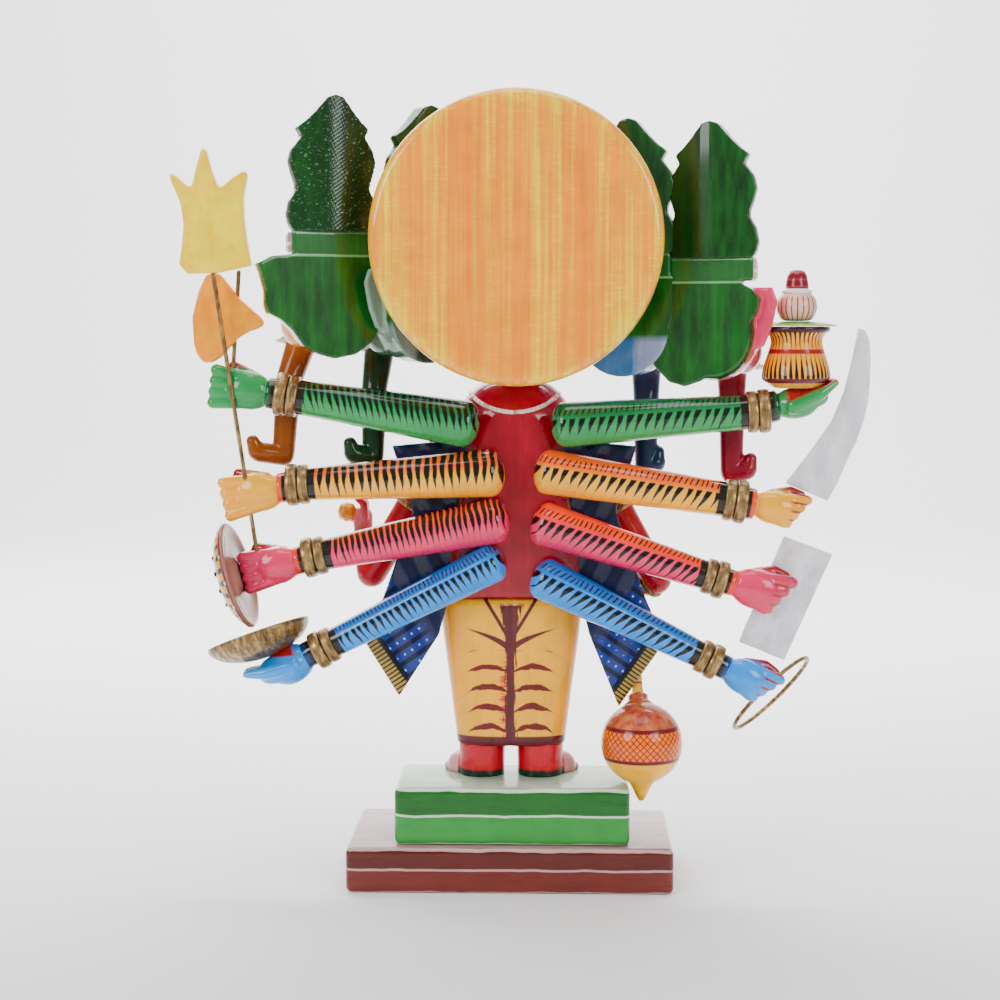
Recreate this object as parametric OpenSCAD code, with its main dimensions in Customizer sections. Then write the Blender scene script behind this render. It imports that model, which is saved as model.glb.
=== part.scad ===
// Painted wooden statuette of an elephant deity with five heads and ten arms.
// It stands on a two-step base and faces -Y, with +Z up and its left hand side on +X.
// The origin is the centre of the underside of the base slab. All sizes are millimetres.

/* [Base] */
// Width of the lower slab
slab_w = 124; // [104:1:150]
// Depth of the lower slab
slab_d = 67; // [60:1:90]
// Height of the lower slab
slab_h = 17.6; // [12:0.1:24]
// Width of the upper step
step_w = 89.2; // [74:0.1:98]
// Depth of the upper step
step_d = 45.2; // [43:0.1:52]
// Height of the upper step
step_h = 22.2; // [15:0.1:30]
// Radius of the slabs' upright corners
corner_r = 2.4; // [1:0.1:4]
// How far the step sits off the slab's centre, sideways
step_x = -0.9; // [-5:0.1:5]
// How far the step sits off the slab's centre, front to back
step_y = 7.1; // [4:0.1:9]

/* [Body] */
// Sideways place of the figure's centre line
fig_x = -1.3; // [-5:0.1:5]
// Front to back place of the torso
body_y = -4.2; // [-7:0.1:-2]
// How far the feet stand behind the torso's middle
foot_back = 6; // [4:0.1:7]
// How far the legs stand off the figure's centre line
leg_shift = 1.3; // [0:0.1:2]
// Height of the ankles above the step
ankle_h = 12.5; // [10:0.1:15]
// Radius of an ankle
ankle_r = 8.9; // [7:0.1:9.5]
// Distance of an ankle from the centre line
ankle_x = 11.3; // [10.8:0.1:12]
// Height of the leg block from hem to waist
leg_h = 57; // [46:0.1:70]
// Radius of a leg at the hem
hem_r = 10.6; // [10:0.1:12]
// Radius of a leg at the waist
thigh_r = 15.2; // [13:0.1:17]
// Distance of a thigh from the centre line
thigh_x = 12.8; // [11:0.1:14]
// Height of the torso from waist to neck
torso_h = 84; // [78:0.1:96]
// Radius of the torso at the waist
waist_r = 29.4; // [27:0.1:32]
// Depth of the torso as a share of its width
torso_flat = 0.74; // [0.7:0.01:0.8]
// Height of the neck
neck_h = 16; // [12:0.1:20]
// Radius of the neck
neck_r = 9; // [7:0.1:10]
// Radius of the wooden dowels inside the body
dowel_r = 2.5; // [2:0.1:3.2]

/* [Arms] */
// How far the eight back arms lie behind the torso's middle
arm_back = 23; // [21:0.1:25]
// How far behind the torso's middle its back is planed flat for the arms
seat_back = 16; // [15:0.1:17]
// Radius of the pegs that pin the back arms
peg_r = 1.6; // [1.2:0.1:2]
// How far a bangle stands proud of the wrist
bangle_t = 1.5; // [1:0.1:2.2]
// Width of one bangle
bangle_w = 4.4; // [3.4:0.1:5]

/* [Heads] */
// Width of a head's face
head_w = 34; // [30:0.1:38]
// Height of a head from its band to its chin
head_h = 38; // [34:0.1:44]
// Depth of a head from its back board to its brow
head_d = 28; // [24:0.1:32]
// Thickness of a head's back board
board_t = 8; // [6:0.1:10]
// Height of the band under a crown
band_h = 8.5; // [6:0.1:11]
// Height of a crown above its band
crown_h = 50; // [42:0.1:58]
// Half width of a crown at its widest
crown_half = 18; // [15:0.1:20]
// Thickness of a crown at its edge
crown_edge = 4; // [3:0.1:6]
// Rise of the ridge down the crown's back
crown_ridge = 5; // [3:0.1:8]
// Thickness of the batten that joins the heads
rail_t = 7; // [5:0.1:8]
// Height of the batten that joins the heads
rail_h = 10; // [8:0.1:12]

/* [Halo] */
// Radius of the round halo board
halo_r = 54.4; // [46:0.1:62]
// Thickness of the halo board
halo_t = 11; // [8:0.1:14]
// Rounding of the halo's rim
halo_round = 3.4; // [2:0.1:4]
// Height of the halo's centre above the neck's foot
halo_z = 52.9; // [48:0.1:60]

/* [Held things] */
// Radius of the wire shafts
wire_r = 0.85; // [0.6:0.05:1.2]
// Thickness of the thin painted boards
leaf_t = 3; // [2:0.1:4]
// Radius of the shield
shield_r = 20.6; // [17:0.1:24]
// Radius of the bowl
bowl_r = 20.3; // [17:0.1:24]
// Wall of the bowl
dish_wall = 1.8; // [1.2:0.1:2.4]
// Radius of the noose
noose_r = 19.5; // [17:0.1:23]
// Radius of the pot's body
pot_r = 13; // [11:0.1:15]
// Height of the pot
pot_h = 24.6; // [20:0.1:30]
// Radius of the mace's ball
mace_r = 15.6; // [13:0.1:17]
// Radius of the sweet on the left palm
sweet_r = 4; // [3:0.1:5.4]

/* [Hidden] */
HEADS = ["centre", "inner_left", "inner_right", "outer_left", "outer_right"];
ARMS = ["green_left", "yellow_left", "pink_left", "blue_left",
        "green_right", "yellow_right", "pink_right", "blue_right"];
$fn = 48;
// Sides of the balls that hulls are drawn round
soft_fn = 16;
// Play of a pin in its hole
gap = 0.02;

foot_y = body_y + foot_back;
leg_x = fig_x + leg_shift;
arm_y = body_y + arm_back;
seat_y = body_y + seat_back;
deck_z = slab_h + step_h;
hem_z = deck_z + ankle_h;
waist_z = hem_z + leg_h;
neck_z = waist_z + torso_h;

// One row a back arm: side, shoulder [x from the centre line, height above the waist], shoulder radius,
// reach to the wrist, rise in degrees, wrist radius, hand length, hand rise in degrees, half the hand's height
ARM_SIZES = [
    [ 1, [18.5, 67.8], 9.0, 63.2,   9.1, 6.6, 25,   7, 8.6],
    [ 1, [ 9.0, 49.2], 9.2, 68.1,  -3.5, 6.3, 25, -12, 8.8],
    [ 1, [ 7.1, 31.0], 8.9, 65.1, -11.3, 6.0, 24, -14, 8.4],
    [ 1, [ 8.3, 14.8], 7.6, 66.8, -26.9, 5.6, 26, -22, 7.6],
    [-1, [19.4, 67.5], 8.7, 67.9,   4.1, 6.6, 25,  18, 6.0],
    [-1, [13.0, 49.7], 8.6, 66.6,  -8.7, 6.6, 22, -10, 7.0],
    [-1, [11.9, 29.8], 8.6, 62.6, -17.5, 5.6, 24, -15, 8.4],
    [-1, [11.9,  8.9], 8.2, 64.5, -26.0, 5.2, 23, -27, 7.4]
];
// Length of an arm between its wrist and its hand, which the bangles go round
cuff = 11.5;
// Share of the shoulder's radius that its round end stands out by
cap_share = 0.4;

function arm_row(name) = ARM_SIZES[search([name], ARMS)[0]];
function rise_dir(side, rise) = [side * cos(rise), 0, sin(rise)];
function shoulder(a) = [fig_x + a[0] * a[1][0], arm_y, waist_z + a[1][1]];
function wrist(a) = shoulder(a) + a[3] * rise_dir(a[0], a[4]);
function hand_start(a) = wrist(a) + cuff * rise_dir(a[0], (a[4] + a[7]) / 2);
function hand_at(a, along) = hand_start(a) + along * rise_dir(a[0], a[7]);

// One row a head: distance from the centre line, back plane behind the torso's middle, height of the
// crown's foot above the neck, turn outwards, which side the big ear is on (0 for both), drop of the trunk,
// its sideways lean, length of its hook, and how far the chin sits off the middle of the board
HEAD_SIZES = [
    [ -5.4, 14, 54,   4,  0, 52,  5.0,  8.5,  0.0],
    [ 33.1, 20, 53,  38,  1, 48,  7.5,  9.5, -1.5],
    [-43.4, 20, 48, -15, -1, 47, -1.0, -4.5,  3.0],
    [ 67.1, 29, 56,  25,  1, 50, 12.0, 11.5, -2.5],
    [-73.4, 29, 46, -20, -1, 47, -1.5, -7.0,  9.0]
];
function head_row(name) = HEAD_SIZES[search([name], HEADS)[0]];

halo_front = body_y + 34;
halo_centre = [fig_x - 1.2, halo_front, neck_z + halo_z];
// Front face of the batten, and its underside's height above the neck's foot
rail_y = body_y + 11;
rail_up = 21;

// ---- shared shapes ----

// Ends to the origin's Z axis turned towards a direction
module towards(from, to) {
    d = to - from;
    translate(from) rotate([0, acos(d.z / norm(d)), atan2(d.y, d.x)]) children();
}

module rod(from, to, r) {
    towards(from, to) cylinder(h = norm(to - from), r = r);
}

// A flat board drawn in the XZ plane, from front to back
module board(points, front, back) {
    translate([0, back, 0]) rotate([90, 0, 0]) linear_extrude(back - front) polygon(points);
}

// Points given from the figure's centre line and waist, put in their place
function from_waist(points) = [for (p = points) [fig_x + p.x, waist_z + p.y]];

module rounded_slab(w, d, h, r) {
    linear_extrude(h) rounded_rect(w, d, r);
}

module rounded_rect(w, d, r) {
    square([w - 2 * r, d], center = true);
    square([w, d - 2 * r], center = true);
    for (x = [-1, 1], y = [-1, 1]) translate([x * (w / 2 - r), y * (d / 2 - r)]) circle(r);
}

module soft_ball(at, r) {
    translate(at) sphere(r, $fn = soft_fn);
}

// A tapering limb of round sections through a list of [point, radius]
module limb(stations) {
    for (i = [0 : len(stations) - 2]) hull() {
        soft_ball(stations[i][0], stations[i][1]);
        soft_ball(stations[i + 1][0], stations[i + 1][1]);
    }
}

// ---- base ----

nail_r = 0.9;
nail_head_r = 2.2;
nail_head_t = 1.2;
nail_len = slab_h + 9;
nail_spread = step_w / 2 - 14;

module nail_places() {
    for (x = [-1, 1], y = [-1, 1]) translate([step_x + x * nail_spread, step_y + y * 14, 0]) children();
}

module base_slab() {
    color("#7a3a36") difference() {
        rounded_slab(slab_w, slab_d, slab_h, corner_r);
        nail_places() nail_form(0);
    }
}

module base_step() {
    color("#3f8f3a") difference() {
        translate([step_x, step_y, slab_h]) rounded_slab(step_w, step_d, step_h, corner_r);
        nail_places() nail_form(0);
        ankle_dowels();
    }
}

module nail_form(slack) {
    cylinder(h = nail_len, r = nail_r - slack);
    cylinder(h = nail_head_t, r = nail_head_r - slack);
}

module base_nails() {
    color("#8a8a8a") nail_places() nail_form(gap);
}

// ---- body ----

dowel_bite = 9;

module ankle_dowels(slack = 0) {
    for (s = [-1, 1]) translate([leg_x + s * ankle_x, foot_y, deck_z - dowel_bite])
        cylinder(h = ankle_h + 2 * dowel_bite, r = dowel_r - slack);
}

module waist_dowel(slack = 0) {
    for (s = [-1, 1]) translate([leg_x + s * thigh_x, body_y, waist_z - dowel_bite])
        cylinder(h = 2 * dowel_bite, r = dowel_r - slack);
}

module body_dowels() {
    color("#c9a26a") {
        ankle_dowels(gap);
        waist_dowel(gap);
    }
}

// A shoe and the ankle above it, toes turned outwards
module foot(side) {
    ankle = [leg_x + side * ankle_x, foot_y, deck_z];
    block = 4 * ankle_r;
    difference() {
        union() {
            translate(ankle) cylinder(h = ankle_h, r = ankle_r);
            intersection() {
                hull() {
                    soft_ball(ankle + [side * 2, -3, 0], ankle_r);
                    soft_ball(ankle + [side * 11.5, -8, 0], 4.6);
                    soft_ball(ankle + [side * 3, -12, 0], 5);
                }
                translate(ankle - [block, block, 0]) cube([2 * block, 2 * block, ankle_h]);
            }
        }
        ankle_dowels();
    }
}

module foot_left() { color("#c8102e") foot(1); }
module foot_right() { color("#c8102e") foot(-1); }

// Two tapered legs that touch, leaning out and forwards from the hem up
thigh_back = 1.5;

module legs() {
    lean_x = (thigh_x - hem_r) / leg_h;
    lean_y = (thigh_back - foot_back) / leg_h;
    color("#f5b01a") difference() {
        for (s = [-1, 1]) translate([leg_x + s * hem_r, foot_y, hem_z])
            multmatrix([[1, 0, s * lean_x, 0], [0, 1, lean_y, 0], [0, 0, 1, 0]])
                cylinder(h = leg_h, r1 = hem_r, r2 = thigh_r);
        ankle_dowels();
        waist_dowel();
    }
}

// The torso's outline, from waist to neck, grown by an amount
function torso_line(grow) = [
    [0, 0], [waist_r + grow, 0], [waist_r + 0.8 + grow, torso_h * 0.12], [waist_r + 0.2 + grow, torso_h * 0.28],
    [waist_r - 2.4 + grow, torso_h * 0.52], [waist_r - 4.6 + grow, torso_h * 0.74],
    [waist_r - 8.4 + grow, torso_h * 0.88], [waist_r - 14.5 + grow, torso_h * 0.97],
    [neck_r + grow, torso_h], [neck_r + grow, torso_h + neck_h], [0, torso_h + neck_h]
];

module torso_form(grow = 0) {
    intersection() {
        translate([fig_x, body_y, waist_z]) scale([1, torso_flat, 1])
            rotate_extrude($fn = 96) polygon(torso_line(grow));
        translate([fig_x - 60, seat_y + grow - 120, waist_z - 1]) cube([120, 120, torso_h + neck_h + 2]);
    }
}

module torso() {
    color("#b4002c") difference() {
        torso_form();
        waist_dowel();
        pegs();
        head_rail_form();
        front_shoulders();
    }
}

// Garland: a band that follows the chest and the back of the shoulders
garland_w = 2.8;
garland_t = 1.2;

module garland() {
    color("#f2ece0") difference() {
        intersection() {
            difference() {
                torso_form(garland_t);
                torso_form();
            }
            union() {
                ring_window(neck_z + 12, 27, -60, body_y);
                ring_window(neck_z + 2, 22, body_y, 60);
            }
            translate([-60, -60, waist_z]) cube([120, 120, torso_h - 4]);
        }
        back_arm_forms();
        front_shoulders();
    }
}

// A ring drawn in the XZ plane round the neck, from front to back
module ring_window(z, r, front, back) {
    translate([fig_x, back, z]) rotate([90, 0, 0]) linear_extrude(back - front) difference() {
        circle(r);
        circle(r - garland_w);
    }
}

// ---- back arms ----

module arm_axis(a) {
    translate(shoulder(a)) rotate([0, a[0] * (90 - a[4]), 0]) children();
}

// Turned sleeve of the arm, round at the shoulder
module sleeve(a) {
    r = a[2];
    cap = r * cap_share;
    arm_axis(a) rotate_extrude() polygon(concat(
        [for (t = [0 : 15 : 90]) [r * sin(t), -cap * cos(t)]],
        [[a[5], a[3]], [a[5], a[3] + cuff], [0, a[3] + cuff]]));
}

module hand(a) {
    r = 4.6;
    spread = a[8] - r;
    tip = hand_at(a, a[6] - r);
    up = rise_dir(a[0], a[7] + 90 * a[0]) * a[0];
    hull() {
        soft_ball(wrist(a) + 0.9 * (hand_start(a) - wrist(a)), a[5] - 1.4);
        soft_ball(hand_at(a, a[6] * 0.35), a[8] * 0.86);
        soft_ball(tip + spread * [up.x, 0, abs(up.z)], r);
        soft_ball(tip - spread * [up.x, 0, abs(up.z)], r);
    }
}

module back_arm_form(a) {
    difference() {
        union() {
            sleeve(a);
            hand(a);
        }
        translate([fig_x - 32, seat_y - 30, waist_z - 20]) cube([64, 30, torso_h + 30]);
    }
}

module back_arm_forms() {
    for (name = ARMS) sleeve(arm_row(name));
}

module back_arm(name) {
    a = arm_row(name);
    difference() {
        back_arm_form(a);
        pegs();
        if (a[0] > 0) trident_rod(0);
        if (name == "green_left") axe_rod(0);
        if (name == "pink_left") shield_form();
        if (name == "blue_left") bowl_form();
        if (name == "green_right") pot_form();
        if (name == "yellow_right") sword_form();
        if (name == "pink_right") book_form();
        if (name == "blue_right") noose_form(0);
    }
}

module arm_green_left() { color("#3f8f5a") back_arm("green_left"); }
module arm_yellow_left() { color("#f2b020") back_arm("yellow_left"); }
module arm_pink_left() { color("#d9506e") back_arm("pink_left"); }
module arm_blue_left() { color("#4a9ad6") back_arm("blue_left"); }
module arm_green_right() { color("#3f8f5a") back_arm("green_right"); }
module arm_yellow_right() { color("#f2b020") back_arm("yellow_right"); }
module arm_pink_right() { color("#d9506e") back_arm("pink_right"); }
module arm_blue_right() { color("#4a9ad6") back_arm("blue_right"); }

// Pegs that pin each arm's shoulder to the torso
peg_inset = 4;
peg_back = 7;
peg_bite = 9;

module pegs(slack = 0) {
    for (name = ARMS) {
        a = arm_row(name);
        at = shoulder(a) + peg_inset * rise_dir(a[0], a[4]);
        translate([at.x, arm_y + peg_back, at.z]) rotate([90, 0, 0])
            cylinder(h = arm_y + peg_back - seat_y + peg_bite, r = peg_r - slack);
    }
}

module arm_pegs() { color("#b4002c") pegs(gap); }

// Two rounded rings round each wrist
module bangles() {
    color("#8a7250") for (name = ARMS) {
        a = arm_row(name);
        arm_axis(a) for (i = [0, 1]) translate([0, 0, a[3] + bangle_w * (i + 0.1)])
            rotate_extrude() polygon([for (t = [0 : 20 : 180])
                [a[5] + bangle_t * sin(t), bangle_w / 2 * (1 - cos(t))]]);
    }
}

// ---- front arms ----

front_r = 7;
front_cap_r = 8.5;
left_shoulder = [fig_x + 22, body_y - 1, waist_z + 64];
left_elbow = [fig_x + 56.6, body_y - 6, waist_z + 8];
left_hand = [fig_x + 61.6, body_y - 16, waist_z + 28];
right_shoulder = [fig_x - 22, body_y - 1, waist_z + 64];
right_elbow = [fig_x - 55.4, body_y - 3, waist_z + 6];
right_hand = [fig_x - 45.4, body_y - 11, waist_z - 1];

module front_shoulders() {
    for (s = [left_shoulder, right_shoulder]) translate(s) sphere(front_cap_r);
}

module front_arm(from, elbow, palm, palm_r) {
    translate(from) sphere(front_cap_r - gap);
    limb([[from, front_r], [elbow, front_r - 1]]);
    limb([[elbow, front_r - 1], [palm, palm_r]]);
}

module left_front_form() { front_arm(left_shoulder, left_elbow, left_hand, 5); }
module right_front_form() { front_arm(right_shoulder, right_elbow, right_hand, 5.5); }

module front_arm_left() {
    color("#c8102e") difference() {
        left_front_form();
        sweet_form();
    }
}

module front_arm_right() {
    color("#c8102e") difference() {
        right_front_form();
        mace_rod(0);
    }
}

module sweet_form() {
    translate(left_hand + [5.5, 0, 3]) sphere(sweet_r);
}

module sweet() { color("#f2a020") sweet_form(); }

// ---- heads ----

module head_place(h) {
    translate([fig_x + h[0], body_y + h[1], neck_z + h[2]]) rotate([0, 0, h[3]]) children();
}

// Back board with its ears, drawn from the middle of the band's top edge
function ear(side, reach) = [
    [side * (head_w / 2 - 1), -band_h - 1], [side * (head_w / 2 + reach), -band_h - 3],
    [side * (head_w / 2 + reach - 1), -band_h - 14], [side * (head_w / 2 + reach - 5), -band_h - 22],
    [side * (head_w / 2 - 2), -band_h - 24]
];

// Height of the board's straight part below its band, and how far its ears stand out
jaw_drop = 22;

module head_board(h) {
    small = 2.5;
    big = 10.5;
    rotate([90, 0, 0]) linear_extrude(board_t) {
        translate([-head_w / 2 + 1.5, -band_h]) square([head_w - 3, band_h]);
        translate([-head_w / 2 + 1 + min(h[8], 0), -band_h - jaw_drop])
            square([head_w - 2 + abs(h[8]), jaw_drop + 0.01]);
        translate([h[8], -band_h - head_h + head_w / 2]) circle(head_w / 2);
        polygon(ear(1, h[4] < 0 ? small : big));
        polygon(ear(-1, h[4] > 0 ? small : big));
    }
}

// Brow, cheeks and jaw in front of the board
module skull(h) {
    translate([0, -board_t, -band_h - head_h * 0.52]) scale([head_w / 2, head_d - board_t, head_h * 0.52])
        sphere(1, $fn = 64);
}

module head_form(h) {
    head_place(h) {
        head_board(h);
        intersection() {
            skull(h);
            translate([-60, -60, -90]) cube([120, 60, 90]);
        }
    }
}

module head(name) {
    h = head_row(name);
    difference() {
        head_form(h);
        head_rail_form();
        if (name == "centre") torso_form();
        for (other = HEADS) if (search([other], HEADS)[0] < search([name], HEADS)[0])
            head_form(head_row(other));
        trunk_form(h);
        head_place(h) tusk_pair(0);
    }
}

module head_centre() { color("#c8102e") head("centre"); }
module head_inner_left() { color("#2b5a35") head("inner_left"); }
module head_inner_right() { color("#2f6fa5") head("inner_right"); }
module head_outer_left() { color("#d98a2a") head("outer_left"); }
module head_outer_right() { color("#d0566a") head("outer_right"); }

// Trunk: out from the brow, down, and out again at its tip
module trunk_form(h) {
    drop = h[5];
    lean = h[6];
    head_place(h) limb([
        [[0, -head_d + 1, -band_h - 14], 7],
        [[0, -head_d - 3, -band_h - 26], 6.6],
        [[lean * 0.8, -head_d + 1, -band_h - 26 - drop * 0.5], 5],
        [[lean, -head_d + 2, -band_h - 26 - drop], 4.4],
        [[lean + h[7], -head_d + 1, -band_h - 24 - drop], 4.4]
    ]);
}

module trunk(name) {
    difference() {
        trunk_form(head_row(name));
        if (name == "centre") torso_form(0.05);
        back_arm_forms();
    }
}

module trunk_centre() { color("#c8102e") trunk("centre"); }
module trunk_inner_left() { color("#2b5a35") trunk("inner_left"); }
module trunk_inner_right() { color("#2d4a72") trunk("inner_right"); }
module trunk_outer_left() { color("#b06a1e") trunk("outer_left"); }
module trunk_outer_right() { color("#8e2b3c") trunk("outer_right"); }

module tusk_pair(slack) {
    for (s = [-1, 1])
        towards([s * 9, -head_d + 7, -band_h - 27], [s * 13, -head_d - 7, -band_h - 33])
            cylinder(h = 15.5, r1 = 1.9 - slack, r2 = 0.6);
}

module tusks() {
    color("#f4efe0") for (name = HEADS) head_place(head_row(name)) tusk_pair(gap);
}

// Crown: a cut board with a stepped outline and a ridge down its back
function crown_side(side) = [
    [side * 0.88, 0.00], [side * 1.00, 0.12], [side * 0.82, 0.32], [side * 0.95, 0.52],
    [side * 0.74, 0.69], [side * 0.79, 0.755], [side * 0.45, 0.87]
];

module crown_form(h) {
    outline = concat(crown_side(1), [[0.10, 1.0], [-0.10, 1.0]],
        [for (i = [6 : -1 : 0]) crown_side(-1)[i]]);
    half = crown_half + 1;
    head_place(h) intersection() {
        translate([0, crown_ridge, 0]) rotate([90, 0, 0]) linear_extrude(crown_ridge + crown_edge + 6)
            polygon([for (p = outline) [p.x * crown_half, p.y * crown_h]]);
        translate([0, -2, -1]) linear_extrude(crown_h + 2) polygon([
            [-half, -crown_edge], [-half, 0], [0, crown_ridge], [half, 0], [half, -crown_edge]]);
    }
}

module crown(name) {
    i = search([name], HEADS)[0];
    difference() {
        crown_form(head_row(name));
        for (j = [0 : 1 : i - 1]) crown_form(HEAD_SIZES[j]);
    }
}

module crown_centre() { color("#c89a20") crown("centre"); }
module crown_inner_left() { color("#2a6b30") crown("inner_left"); }
module crown_inner_right() { color("#2a6b30") crown("inner_right"); }
module crown_outer_left() { color("#2a6b30") crown("outer_left"); }
module crown_outer_right() { color("#2a6b30") crown("outer_right"); }

// Batten through the five heads, on top of the neck
module head_rail_form() {
    left = fig_x + HEAD_SIZES[3][0] + 8;
    right = fig_x + HEAD_SIZES[4][0] - 8;
    translate([right, rail_y, neck_z + rail_up]) cube([left - right, rail_t, rail_h]);
}

module head_rail() { color("#c9a26a") head_rail_form(); }

// Block that holds the halo off the backs of the middle heads
block_w = 30;

module halo_block() {
    back = body_y + HEAD_SIZES[0][1];
    color("#c9a26a") difference() {
        translate([halo_centre.x - block_w / 2, back, neck_z + neck_h + 8]) cube([block_w, halo_front - back, 18]);
        head_form(HEAD_SIZES[1]);
        head_form(HEAD_SIZES[2]);
    }
}

module halo_disc() {
    color("#f5a81c") translate(halo_centre) rotate([-90, 0, 0]) rotate_extrude($fn = 128) {
        square([halo_r - halo_round, halo_t]);
        translate([0, halo_round]) square([halo_r, halo_t - 2 * halo_round]);
        for (y = [halo_round, halo_t - halo_round]) translate([halo_r - halo_round, y]) circle(halo_round);
    }
}

// ---- scarves ----

scarf_y = body_y + 13.4;

scarf_line = [[14, 62], [47, 59], [39, 34], [50, 2], [58, -17], [42, -40], [29, -14], [20, 20]];

module scarf(side) {
    difference() {
        board(from_waist([for (p = scarf_line) [side * p.x, p.y]]), scarf_y - leaf_t, scarf_y);
        torso_form(0.05);
        legs();
        left_front_form();
        right_front_form();
        back_arm_forms();
    }
}

module scarf_left() { color("#25356b") scarf(1); }
module scarf_right() { color("#25356b") scarf(-1); }

// ---- held things ----

trident_foot = [fig_x + 96.6, arm_y + 0.5, waist_z + 11];
trident_neck = [fig_x + 112.6, arm_y + 7, waist_z + 126];

module trident_rod(slack) { rod(trident_foot, trident_neck + [0.5, 0.2, 4], wire_r - slack); }
module trident_shaft() { color("#8a7250") trident_rod(gap); }

module trident_head() {
    at = trident_neck;
    color("#f0cc20") difference() {
        board([
            [at.x - 15, at.z + 1], [at.x + 9, at.z - 2], [at.x + 12, at.z + 2], [at.x + 10.5, at.z + 22],
            [at.x + 15.5, at.z + 34], [at.x + 12, at.z + 36], [at.x + 5.5, at.z + 29.5], [at.x + 4.5, at.z + 42],
            [at.x + 2, at.z + 44.5], [at.x - 0.5, at.z + 43], [at.x - 3, at.z + 31], [at.x - 8, at.z + 35.5],
            [at.x - 13, at.z + 36], [at.x - 12, at.z + 18]
        ], at.y - 3.2, at.y + 3.2);
        trident_rod(0);
    }
}

axe_foot = [fig_x + 107.4, arm_y - 2, waist_z + 76];
axe_top = [fig_x + 104, arm_y - 2, waist_z + 125];

module axe_rod(slack) { rod(axe_foot, axe_top, wire_r - slack); }
module axe_shaft() { color("#8a7250") axe_rod(gap); }

axe_line = [
    [116.1, 124], [110.6, 124], [103.6, 115], [95.1, 107.5], [95.8, 104], [104.1, 100.2],
    [111.1, 92.6], [117.6, 91], [121.1, 98], [121.6, 108], [119.1, 118]
];

module axe_head() {
    color("#f5a81c") difference() {
        board(from_waist(axe_line), axe_foot.y - 2.6, axe_foot.y + 2.6);
        axe_rod(0);
    }
}

function dome(r, depth) = [for (t = [0 : 15 : 90]) [r * sin(t), depth * cos(t)]];

// Shield: a low dome with a flat back, facing outwards from the pink hand
shield_depth = 8;
shield_bite = 1.5;

module shield_form() {
    a = arm_row("pink_left");
    translate(hand_at(a, a[6] - shield_bite)) rotate([0, 106, -4]) rotate_extrude()
        polygon(concat([[0, 0]], dome(shield_r, shield_depth)));
}

module shield() { color("#8a5a48") shield_form(); }

// Bowl: a shallow dish on the blue palm
bowl_depth = 10;
bowl_at = [fig_x + 98, arm_y - 1, waist_z - 12.4];
bowl_tilt = 19.7;
bowl_nod = 9;

module bowl_place() {
    translate(bowl_at) rotate([bowl_nod, 0, 0]) rotate([0, bowl_tilt, 0]) rotate([180, 0, 0]) children();
}

module bowl_form() {
    bowl_place() rotate_extrude() polygon(concat([[0, 0]], dome(bowl_r, bowl_depth)));
}

module bowl() {
    inner = dome(bowl_r - dish_wall, bowl_depth - dish_wall);
    color("#a8874e") bowl_place() rotate_extrude()
        polygon(concat(dome(bowl_r, bowl_depth), [for (i = [len(inner) - 1 : -1 : 0]) inner[i]]));
}

// Pot on the raised green palm, with leaves and a coconut on it
pot_at = [fig_x - 106.2, arm_y - 1, waist_z + 81.4];

module pot_form() {
    translate(pot_at) rotate_extrude() polygon([
        [0, 0], [pot_r - 4, 0], [pot_r - 0.6, 2.6], [pot_r, 4.6], [pot_r - 1.6, 11],
        [pot_r - 3.2, 16.5], [pot_r - 2.6, 19], [pot_r - 0.4, 21.5], [pot_r - 0.4, pot_h - 1.4], [0, pot_h - 1.4]
    ]);
}

module pot() { color("#f2b020") pot_form(); }

module pot_leaves() {
    color("#3f9a4a") translate(pot_at + [0, 0, pot_h - 1.4]) linear_extrude(1.8) {
        circle(8);
        for (t = [0 : 45 : 315]) rotate(t) polygon([[0, -3.4], [9, -4.2], [15, 0], [9, 4.2], [0, 3.4]]);
    }
}

module coconut() {
    color("#e0a8a0") translate(pot_at + [0, 0, pot_h + 0.4]) rotate_extrude() polygon([
        [0, 0], [5, 0], [7.1, 2.4], [7.8, 5.4], [7.2, 8.4], [5.4, 10.8], [4.4, 11.8], [4.2, 15],
        [3.6, 17.6], [2.4, 19], [0, 19.4]
    ]);
}

// Curved sword behind the right yellow hand's fingers
sword_y = arm_y - 6.8;
sword_line = [
    [-103.1, 45.3], [-120.3, 69], [-127.6, 92], [-130, 104], [-134.3, 99.4],
    [-134.8, 84], [-132.4, 69.1], [-126.4, 54], [-119.2, 38.5]
];

module sword_form() {
    board(from_waist(sword_line), sword_y, sword_y + leaf_t * 0.8);
}

module sword() { color("#e4e0e8") sword_form(); }

// Palm leaf book held by the right pink hand
book_y = arm_y - 8.4;
book_line = [[-102.9, 25], [-121.3, 18.1], [-103.4, -22.6], [-86.1, -15.6]];

module book_form() {
    board(from_waist(book_line), book_y, book_y + leaf_t + 1);
}

module book() { color("#e4e0e8") book_form(); }

// Noose: a wire ring that the right blue hand closes on
noose_lean = 45;
noose_turn = 19.5;
noose_near = [sin(noose_turn) * sin(noose_lean), cos(noose_turn), sin(noose_turn) * cos(noose_lean)];

function noose_grip() = let (a = arm_row("blue_right")) hand_at(a, a[6] - 6) - [0, 1, 1];
noose_centre = noose_grip() - noose_r * noose_near;

module noose_form(slack) {
    translate(noose_centre) rotate([0, noose_lean, 0]) rotate([noose_turn, 0, 0])
        rotate_extrude($fn = 96) translate([noose_r, 0]) circle(wire_r - slack, $fn = 24);
}

module noose() { color("#8a7250") noose_form(gap); }

// Mace: a ball that hangs below the right front hand
mace_at = [step_x - step_w / 2 - 4.8, body_y + 21, deck_z + mace_r - 0.4];
mace_dir = (right_hand - mace_at) / norm(right_hand - mace_at);

module mace_rod(slack) {
    rod(mace_at + mace_dir * (mace_r - 5), mace_at + mace_dir * (norm(right_hand - mace_at) + 10), 2.4 - slack);
}

module mace_shaft() {
    color("#f2c030") mace_rod(gap);
}

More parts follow.
